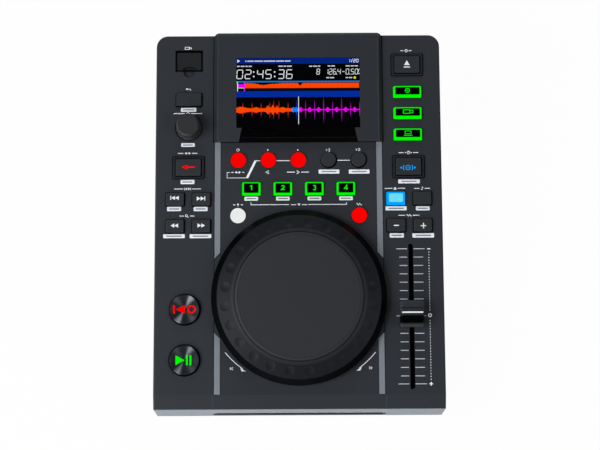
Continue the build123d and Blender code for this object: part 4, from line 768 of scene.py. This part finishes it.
TICKS, SCALE_X = 16, 98.9
marks = []
for step, row in enumerate(np.linspace(109.9, 7.7, TICKS + 1)):
    longer = {0: 2.2, TICKS: 2.2, TICKS // 2: 2.6}.get(step, 0)
    row -= 0.45 if TICKS // 2 < step < TICKS else 0
    marks.append(bar(76.4 - longer, 82.4, row - 0.28, row + 0.28, *INK))
    marks.append(bar(87.2, 94.4 + longer * 0.6, row - 0.28, row + 0.28, *INK))
piece("fader_ticks", marks, grey_ink)
# painted shade along both edges of the fader slot, the right line wider
piece("fader_slot_shade_edges", [bar(*ends, 4.9, 112.2, *GAP_SHADE) for ends in ((83.35, 83.8), (86.2, 86.9))], black_print_and_shade_ink)
dots = np.concatenate([np.linspace(107.3, 63.2, 22), np.linspace(55.2, 11.1, 22)])
marks = [dot(SCALE_X, row, 0.4, *INK, 10) for row in dots]
marks.append(ring(SCALE_X, 59.2, 0.75, 1.5, *INK, 28))
marks.append(bar(97.6, 100.2, 109.4, 110.2, *INK))
marks.append(bar(97.5, 100.3, 7.3, 8.1, *INK))
marks.append(bar(98.5, 99.3, 6.3, 9.1, INK[0] + 0.005, INK[1] + 0.005))
piece("fader_scale_dots", marks, white_ink)

# ---- marks on the keys ----

TOP = (KEY_TOP + SINK, KEY_TOP + LIFT)
CROSS_TOP = (TOP[0] + 0.004, TOP[1] + 0.004)
UPPER = (TOP[1] + SINK, TOP[1] + LIFT)  # marks printed on a printed middle
JOG_MODE = (84, 172.4)


def triangle(x, row, width, height, way, low, high):
    """Triangle that points left or right."""
    reach, rise = way * width / 2, height / 2
    return plate([(x - reach, row - rise), (x + reach, row), (x - reach, row + rise)], low, high)


def key_marks(key, grids, finish, suffix="mark"):
    """Marks that ride on a key."""
    piece(f"{key}_{suffix}", grids, finish, body=key)


for key, x, row, way, stop in (
    ("track_back_key", -94.9, 149.7, -1, True), ("track_forward_key", -74.5, 149.1, 1, True),
    ("search_back_key", -94.8, 128.3, -1, False), ("search_forward_key", -74.3, 128.3, 1, False),
):
    shift = -0.45 * way if stop else 0
    grids = [triangle(x + way * offset + shift, row, 2.9, 3.3, way, *TOP) for offset in (-1.45, 1.45)]
    if stop:
        grids.append(bar(x + way * 2.5, x + way * 3.1, row - 1.65, row + 1.65, *TOP))
    key_marks(key, grids, white_ink)

key_marks("bend_minus_key", [bar(72.4, 76.4, 127.25, 128.1, *TOP)], white_ink)
cross = [bar(92.9, 97.3, 127, 127.75, *TOP), bar(94.72, 95.48, 125.2, 129.6, *CROSS_TOP)]
key_marks("bend_plus_key", cross, white_ink)
eject = [plate([(82.2, 253.2), (86.6, 253.2), (84.4, 256.9)], *TOP), bar(82, 86.8, 251.2, 252.05, *TOP)]
key_marks("eject_key", eject, white_ink)
arrow = [plate([(-89.7, 173.6), (-85.3, 175.4), (-85.3, 171.8)], *TOP), bar(-85.4, -79.6, 173.1, 174.1, *TOP)]
key_marks("reverse_key", arrow, red_light)

x, row = JOG_MODE
grids = [ring(x, row, 1.45, 2, *TOP), dot(x, row, 0.5, *TOP)]
for way in (-1, 1):
    grids.append(stroke(arc(x, row, 3.6, 58 - 90 * way, 122 - 90 * way, 12), 0.65, *TOP))
    grids.append(triangle(x + way * 5.5, row, 1.5, 2.2, way, *TOP))
key_marks("jog_mode_key", grids, blue_light)
centre = plate(rounded(74.4, 149.1, 10.6, 6.6, 0.8), KEY_TOP + SINK, KEY_TOP + 0.02)
key_marks("key_lock_key", [centre], pale_blue_light)

# lit keys with a dark printed middle
for key, x in HOT_CUES.items():
    key_marks(key, [plate(rounded(x, 157, 11.3, 7.5, 0.5), *TOP)], black_print_and_shade_ink, "centre")
for key, row in SOURCE_ROWS.items():
    key_marks(key, [plate(rounded(COLUMN_X, row + 0.5, 18.8, 5.9, 0.6), *TOP)], black_print_and_shade_ink, "centre")

DIGITS = (
    [[(-1, 1), (0.25, 1.75), (0.25, -1.75)]],
    [np.concatenate([arc(0, 0.75, 0.95, 170, -35, 12), [(-1.15, -1.4)], [(1.3, -1.4)]])],
    [arc(-0.1, 0.85, 0.85, 150, -80, 12), arc(-0.1, -0.8, 0.95, 80, -150, 12)],
    [[(1.35, -0.75), (-1.3, -0.75), (0.55, 1.75), (0.55, -1.75)]],
)
for (key, x), paths in zip(HOT_CUES.items(), DIGITS):
    key_marks(key, [stroke(np.asarray(path) + (x + 0.1, 157.2), 0.78, *UPPER) for path in paths], green_light, "number")

stick, plug = rounded(83.6, 216.3, 5, 2.8, 0.3), rounded(87.3, 216.3, 2.4, 1.9)
screen = rounded(COLUMN_X, 199.9, 4.6, 2.3, 0.2)
for key, grids in (
    ("disc", [ring(COLUMN_X, 233.1, 1.35, 1.9, *UPPER), ring(COLUMN_X, 233.1, 0.35, 0.75, *UPPER, 20)]),
    ("stick", [stroke(stick, 0.55, *UPPER, True), stroke(plug, 0.5, *UPPER, True)]),
    ("computer", [stroke(screen, 0.5, *UPPER, True), bar(81.2, 87.8, 197.3, 197.8, *UPPER)]),
):
    key_marks(f"source_key_{key}", grids, green_light)


BOWL_FLOOR, BOWL_RADIUS, BOWL_INK = 1.9, 106.3, (0, LIFT)  # bowl of the large keys


def dished(x, row):
    """Deck placing for marks that follow the shallow bowl of a large key: the height grows with the square
    of the distance from the key's middle."""

    def place(points):
        points = np.array(points, float)
        away = (points[..., 0] - x) ** 2 + (points[..., 1] - row) ** 2
        points[..., 2] += BOWL_FLOOR + away / (2 * BOWL_RADIUS)
        return deck(points)

    return place


grids = [
    triangle(BIG_X - 3.05, PLAY_ROW, 6.7, 7.4, 1, *BOWL_INK),
    bar(BIG_X + 1.45, BIG_X + 2.75, 22.4, 29.8, *BOWL_INK),
    bar(BIG_X + 4.1, BIG_X + 5.45, 22.4, 29.8, *BOWL_INK),
]
piece("play_key_mark", grids, green_light, "play_key", dished(BIG_X, PLAY_ROW))
grids = [
    bar(BIG_X - 8.6, BIG_X - 7.2, 61.1, 67.6, *BOWL_INK),
    triangle(BIG_X - 3, 64.35, 6.4, 6.5, -1, *BOWL_INK),
    stroke(circle(BIG_X + 5.3, 64.35, 2.6, 32), 1.15, *BOWL_INK, True),
]
piece("cue_key_mark", grids, red_light, "cue_key", dished(BIG_X, CUE_ROW))
ridge = [bar(FADER_X - 8, FADER_X + 7.7, FADER_ROW + 1.25, FADER_ROW + 2.35, 12.59, 12.63)]
piece("fader_line", ridge, white_ink, "fader")

# ---- screen ----

LEFT, RIGHT, SCREEN_FRONT, SCREEN_REAR = -47.69, 47.69, 203.7, 259.08


def level(number):
    """Low and high faces of a screen layer, each layer a little over the last."""
    return SCREEN_FLOOR + 0.01 + 0.02 * number, SCREEN_FLOOR + 0.025 + 0.02 * number


SCREEN_COLOURS = {
    "screen black": (0.0006, 0.0006, 0.0014), "title blue": (0, 0.016, 0.2), "band blue": (0, 0.025, 0.33),
    "rule blue": (0.01, 0.2, 0.62), "screen white": (0.86, 0.88, 0.9), "screen orange": (1, 0.062, 0),
    "screen magenta": (0.9, 0, 0.9), "screen bright blue": (0, 0.24, 1), "screen yellow": (0.85, 0.8, 0),
    "screen green": (0.1, 0.9, 0.05), "screen dark orange": (0.72, 0.03, 0),
    "screen dark magenta": (0.5, 0, 0.55), "screen dark blue": (0, 0.03, 0.6),
    "screen caption grey": (0.6, 0.62, 0.65),
}
shown = {name.removeprefix("screen "): pixels(name, colour) for name, colour in SCREEN_COLOURS.items()}
ground = bar(LEFT - 0.3, RIGHT + 0.3, SCREEN_FRONT - 0.3, SCREEN_REAR + 0.3, *level(0))
piece("screen_ground", [ground], shown["black"])
piece("screen_lower_border", [bar(-43.8, 43.8, 195.6, SCREEN_FRONT, *level(0))], strip_black)
for name, front, rear_end, colour in (
    ("title_bar", 254.6, SCREEN_REAR, "title blue"), ("band", 228.1, 233, "band blue"),
    ("rule", 239.95, 240.95, "rule blue"),
):
    piece(f"screen_{name}", [bar(LEFT, RIGHT, front, rear_end, *level(1))], shown[colour])

# lit segments of each figure, and each segment's ends in the figure's box
SEGMENTS = {
    "0": "abcdef", "1": "bc", "2": "abged", "3": "abgcd", "4": "fgbc", "5": "afgcd", "6": "afgedc",
    "8": "abcdefg", "-": "g",
}
ENDS = dict(zip("abcdefg", (
    ((0, 1), (1, 1)), ((1, 1), (1, 0.5)), ((1, 0.5), (1, 0)), ((0, 0), (1, 0)), ((0, 0.5), (0, 0)),
    ((0, 1), (0, 0.5)), ((0, 0.5), (1, 0.5)),
)))
# sizes of figures: row, width, height, pitch, thickness
BIG_FIGURE, COLON = (242.9, 4.3, 6.9, 6.4, 0.62), (242.9, 3, 6.9, 6, 0.8)
FIGURE, SMALL_FIGURE = (246.1, 2.1, 4.2, 3.05, 0.42), (255.7, 1.5, 2.4, 2.2, 0.42)


def seven(text, x, row, width, height, pitch, thick):
    """Seven-segment figures: each lit segment is a short bar between two corners of the figure's box, leaning
    a little to the right. A colon is two dots."""
    grids = []
    low, high = level(2)
    for place, figure in enumerate(text):
        left = x + place * pitch
        if figure == ":":
            for share in (0.24, 0.76):
                grids.append(dot(left + width / 2, row + height * share, thick * 0.75, low, high, 10))
        for number, segment in enumerate(SEGMENTS.get(figure, "")):
            ends = np.array(ENDS[segment], float)
            gap = 0.08 * (ends[1] - ends[0])
            ends = (ends + (gap, -gap)) * (width, height)
            ends[:, 0] += ends[:, 1] * 0.07
            grids.append(stroke(ends + (left, row), thick, low, high + 0.0004 * number))
    return grids


figures = []
for text, x, size in (
    ("02", -47.5, BIG_FIGURE), ("45", -31.7, BIG_FIGURE), ("36", -15.5, BIG_FIGURE), (":", -35.8, COLON),
    (":", -19.6, COLON), ("8", 14.4, FIGURE), ("126", 21, FIGURE), ("4", 30.6, FIGURE), ("-0", 34, FIGURE),
    ("50", 41, FIGURE),
):
    figures += seven(text, x, *size)
for x, row, radius in ((29.9, 246.2, 0.36), (40.1, 246.2, 0.36), (46.3, 249.8, 0.45), (47.2, 246.6, 0.45)):
    figures.append(dot(x, row, radius, *level(2), 10))
figures.append(stroke([(45.9, 246.2), (47.4, 250.3)], 0.35, *level(2)))
figures += seven("1", 38.6, *SMALL_FIGURE) + seven("20", 42.9, *SMALL_FIGURE)
figures.append(stroke([(41.2, 255.5), (42.3, 258.3)], 0.4, *level(2)))
figures.append(triangle(-46, 256.9, 2.1, 2.4, 1, *level(2)))
piece("screen_figures", figures, shown["white"])

# rules where captions would stand: left end, row, widths
captions = []
for x, row, widths in (
    (-47.3, 252.7, (2.2, 3.1, 1.9, 2.4)), (-15.2, 252.7, (3.4, 2, 3.8)), (8.6, 252.6, (2.6, 3, 1.8)),
    (-40.9, 256.8, (1, 4.9, 6.6, 9, 6.2, 4.4)), (23, 252.7, (2.1, 2.9)), (37, 252.7, (3.2, 2.4, 2.6)),
    (21.8, 243.4, (2.4, 3.1)), (36.9, 243.4, (1.8, 2.6)),
):
    for width in widths:
        captions.append(bar(x, x + width, row - 0.45, row + 0.45, *level(2)))
        x += width + 0.6
piece("screen_captions", captions, shown["caption grey"])
piece("screen_key_dot", [dot(43.9, 243.4, 0.95, *level(2), 16)], shown["yellow"])


def bells(x, places, widths, heights):
    """Sum of bell curves."""
    away = (x[:, None] - np.asarray(places)) / np.asarray(widths)
    return (np.asarray(heights) * np.exp(-(away**2))).sum(1)


x = np.linspace(-41.2, 47.2, 200)
top = 239.3 - bells(x, [-27, -18, 1.6], [5, 4, 1.1], [1.5, 0.5, 2.2]) - 0.12 * np.sin(x * 2.3)
piece("screen_overview", [ribbon(x, top, np.full(len(x), 235.35), level(2)[1])], shown["orange"])
x = np.linspace(-46.6, -41.4, 30)
grids = [ribbon(x, 238.6 + 0.3 * np.sin(x * 4), np.full(len(x), 235.5), level(2)[1])]
grids.append(bar(-41.9, -41.2, 232.9, 239.9, *level(3)))
piece("screen_overview_start", grids, shown["magenta"])
piece("screen_overview_marker", [bar(-47.1, -46.5, 232.9, 240, *level(4))], shown["white"])
grids = [bar(-47.6, -46.7, 239.4, 240.8, *level(5)), bar(-46.4, -42, 235.1, 235.5, *level(3))]
piece("screen_overview_flag", grids, shown["green"])

MIDDLE, PAST_END, NOW_END, BEAT = 218.1, -4.6, 0.4, 6.95  # waveform: row, ends of its parts, beat length
x = np.linspace(LEFT, PAST_END, 700)
jagged = np.abs(np.sin(x * 7.9)) * 0.55 + np.abs(np.sin(x * 13.3 + 0.7)) * 0.45
swell = 0.95 + 0.45 * jagged + bells(x, [-44, -32.4, -12], [4, 1.9, 1.8], [1.25, 0.9, 0.9])
swell += bells(x, [-23.3, -19.6, -16.4], [1.3, 1.1, 0.9], [2.6, 3.1, 2.4]) * (0.35 + 0.65 * jagged)
piece("screen_wave_past", [ribbon(x, MIDDLE + swell, MIDDLE - swell * 0.96 - 0.2, level(3)[1])], shown["orange"])
past = ((-42.7, 6.2), (-35.6, 6), (-28.6, 5.8), (-21.9, 6.6), (-18.9, 7.8), (-14.9, 7.6), (-7.8, 6.2))
beats = [(*beat, "dark orange") for beat in past]
for number, reach in enumerate((7.6, 8, 10.4, 6.9, 10, 6.2, 6.4)):
    beats.append((5.7 + BEAT * number, reach, "dark magenta"))
beats.append((-1.3, 8.2, "dark blue"))
for number, (place, reach, colour) in enumerate(beats):
    outline = np.array([(-0.38, 0), (0, -reach), (0.38, 0), (0, reach)]) + (place, MIDDLE)
    outline[2, 0] = min(outline[2, 0], RIGHT)
    piece(f"screen_beat_{number}", [plate(outline, *level(2))], shown[colour])
now, coming = np.linspace(PAST_END, NOW_END, 80), np.linspace(NOW_END, RIGHT, 640)
for name, x, half, colour in (
    ("now", now, 1.7 + 0.4 * np.sin(now * 3), "bright blue"),
    ("next", coming, 0.42 + 1.6 * np.maximum(np.sin((coming - 0.6) * TURN / BEAT + 0.4), 0) ** 2, "magenta"),
):
    piece(f"screen_wave_{name}", [ribbon(x, MIDDLE + half, MIDDLE - half, level(3)[1])], shown[colour])
piece("screen_playhead", [bar(0.06, 0.5, 206.7, 228.6, *level(5))], shown["white"])

# ---- raised detail ----


def fluted_sleeve(x, row, low, high, foot, head, depth, flutes, steps):
    """Grip ring: the radius falls from foot to head and ripples with a rounded wave round the turn, fading to
    nothing at both ends."""
    turn = np.linspace(0, TURN, steps, endpoint=False)
    rise = np.array([0, 0.06, 0.16, 0.5, 0.84, 0.94, 1])
    fade = np.array([0, 0.7, 1, 1, 1, 0.6, 0])
    ripple = depth * (0.5 + 0.5 * np.cos(turn * flutes)) ** 0.7
    reach = (foot + (head - foot) * rise)[:, None] + fade[:, None] * ripple
    inner = [np.full((1, steps), radius - 0.6) for radius in (foot, head)]
    reach = np.concatenate([inner[0], reach, inner[1]])[::-1]
    heights = np.concatenate([[low], low + (high - low) * rise, [high]])[::-1]
    rows = [x + reach * np.cos(turn), row + reach * np.sin(turn), np.repeat(heights[:, None], steps, 1)]
    return np.stack(rows, -1), True


grip = fluted_sleeve(-COLUMN_X, KNOB_ROW, 2.2, 9.9, 8.92, 8.66, 0.42, 36, 288)
piece("browse_knob_grip", [grip], finishes["knob"], "browse_knob", smooth=True)

# coloured inserts in the mouths of the rear sockets: distance to the left, colour
for name, left, colour in (
    ("line_out_left", 6, (0.7, 0.7, 0.72)), ("line_out_right", -12, (0.5, 0.01, 0.012)),
    ("digital_out", -34, (0.75, 0.22, 0.01)),
):
    insert = moulded(f"{name} insert plastic", colour, 0.35)
    profile = [(1.62, 8.42), (3.3, 8.42), (3.3, 8.3), (1.62, 8.3), (1.62, 8.42)]
    piece(f"{name}_insert", [turned(profile, 40, left, 36)], insert, place=rear)

# ---- studio ----

REACH = 6  # half width of the floor, metres
floor_mesh = bpy.data.meshes.new("floor")
corners = [(-REACH, -REACH, 0), (REACH, -REACH, 0), (REACH, REACH, 0), (-REACH, REACH, 0)]
floor_mesh.from_pydata(corners, [], [(0, 1, 2, 3)])
floor = stand("floor", floor_mesh)
pale = Finish("pale studio floor", base_color=(0.8, 0.8, 0.8), roughness=0.9, sheen=0.1)
seen = pale.times(pale.node("ShaderNodeLightPath").outputs["Is Camera Ray"], 0.97)
glare = pale.node("ShaderNodeEmission", {"Color": (1, 1, 1), "Strength": 1})
mixed = pale.node("ShaderNodeMixShader", {0: seen, 1: pale.shader.outputs[0], 2: glare.outputs[0]})
pale.feed(pale.tree.nodes["Material Output"].inputs["Surface"], mixed.outputs[0])
floor_mesh.materials.append(pale.material)

AIM = Vector((0, 0, 0.05))
# rectangular lamps turned to the aim: place and size in metres, watts, colour
for name, place, size, power, colour in (
    ("key softbox", (-1.4, -0.55, 1.3), (1.2, 1.2), 32, (0.96, 0.98, 1)),
    ("fill softbox", (1.6, -0.6, 1.2), (1.2, 1.2), 11, (1, 1, 1)),
    ("front softbox", (-0.7, -1.9, 0.7), (1.6, 0.7), 17, (1, 1, 1)),
    ("rear softbox", (0.1, 1.7, 1.1), (1.6, 0.6), 14, (1, 1, 1)),
):
    lamp = bpy.data.lights.new(name, "AREA")
    lamp.shape = "RECTANGLE"
    lamp.size, lamp.size_y = size
    lamp.energy, lamp.color = power, colour
    made = stand(name, lamp)
    made.location = place
    made.rotation_euler = (AIM - Vector(place)).to_track_quat("-Z", "Y").to_euler()

# white world, dim as a lamp and plain white to the eye
world = bpy.data.worlds.new("studio")
bpy.context.scene.world = world
world.use_nodes = True
nodes, links = world.node_tree.nodes, world.node_tree.links
background = nodes["Background"]
background.inputs["Color"].default_value = (1, 1, 1, 1)
choice = nodes.new("ShaderNodeMix")
links.new(nodes.new("ShaderNodeLightPath").outputs["Is Camera Ray"], choice.inputs[0])
choice.inputs[2].default_value, choice.inputs[3].default_value = 0.02, 1
links.new(choice.outputs[0], background.inputs["Strength"])

# ---- camera ----

TARGET, DISTANCE = np.array([0.000966, -0.000178, 0.045]), 1.04295  # metres
LEAN, ROLL, YAW = (math.radians(angle) for angle in (16.21, -0.188, -0.088))
FOCAL, PICTURE_WIDTH, SENSOR = 1341.72, 600, 36  # pixels, pixels, millimetres
tip = math.sin(LEAN)
back = np.array([math.sin(YAW) * tip, -math.cos(YAW) * tip, math.cos(LEAN)])
right = np.cross(-back, (0, 0, 1))
right /= np.linalg.norm(right)
above = np.cross(right, -back)
right, above = (
    math.cos(ROLL) * right + math.sin(ROLL) * above, math.cos(ROLL) * above - math.sin(ROLL) * right,
)
camera_data = bpy.data.cameras.new("camera")
camera_data.sensor_width = SENSOR
camera_data.lens = FOCAL / PICTURE_WIDTH * SENSOR
camera = stand("camera", camera_data)
turn = Matrix([list(right), list(above), list(back)]).transposed().to_4x4()
camera.matrix_world = Matrix.Translation(Vector(TARGET + back * DISTANCE)) @ turn
bpy.context.scene.camera = camera
bpy.context.scene.view_settings.view_transform = "Standard"
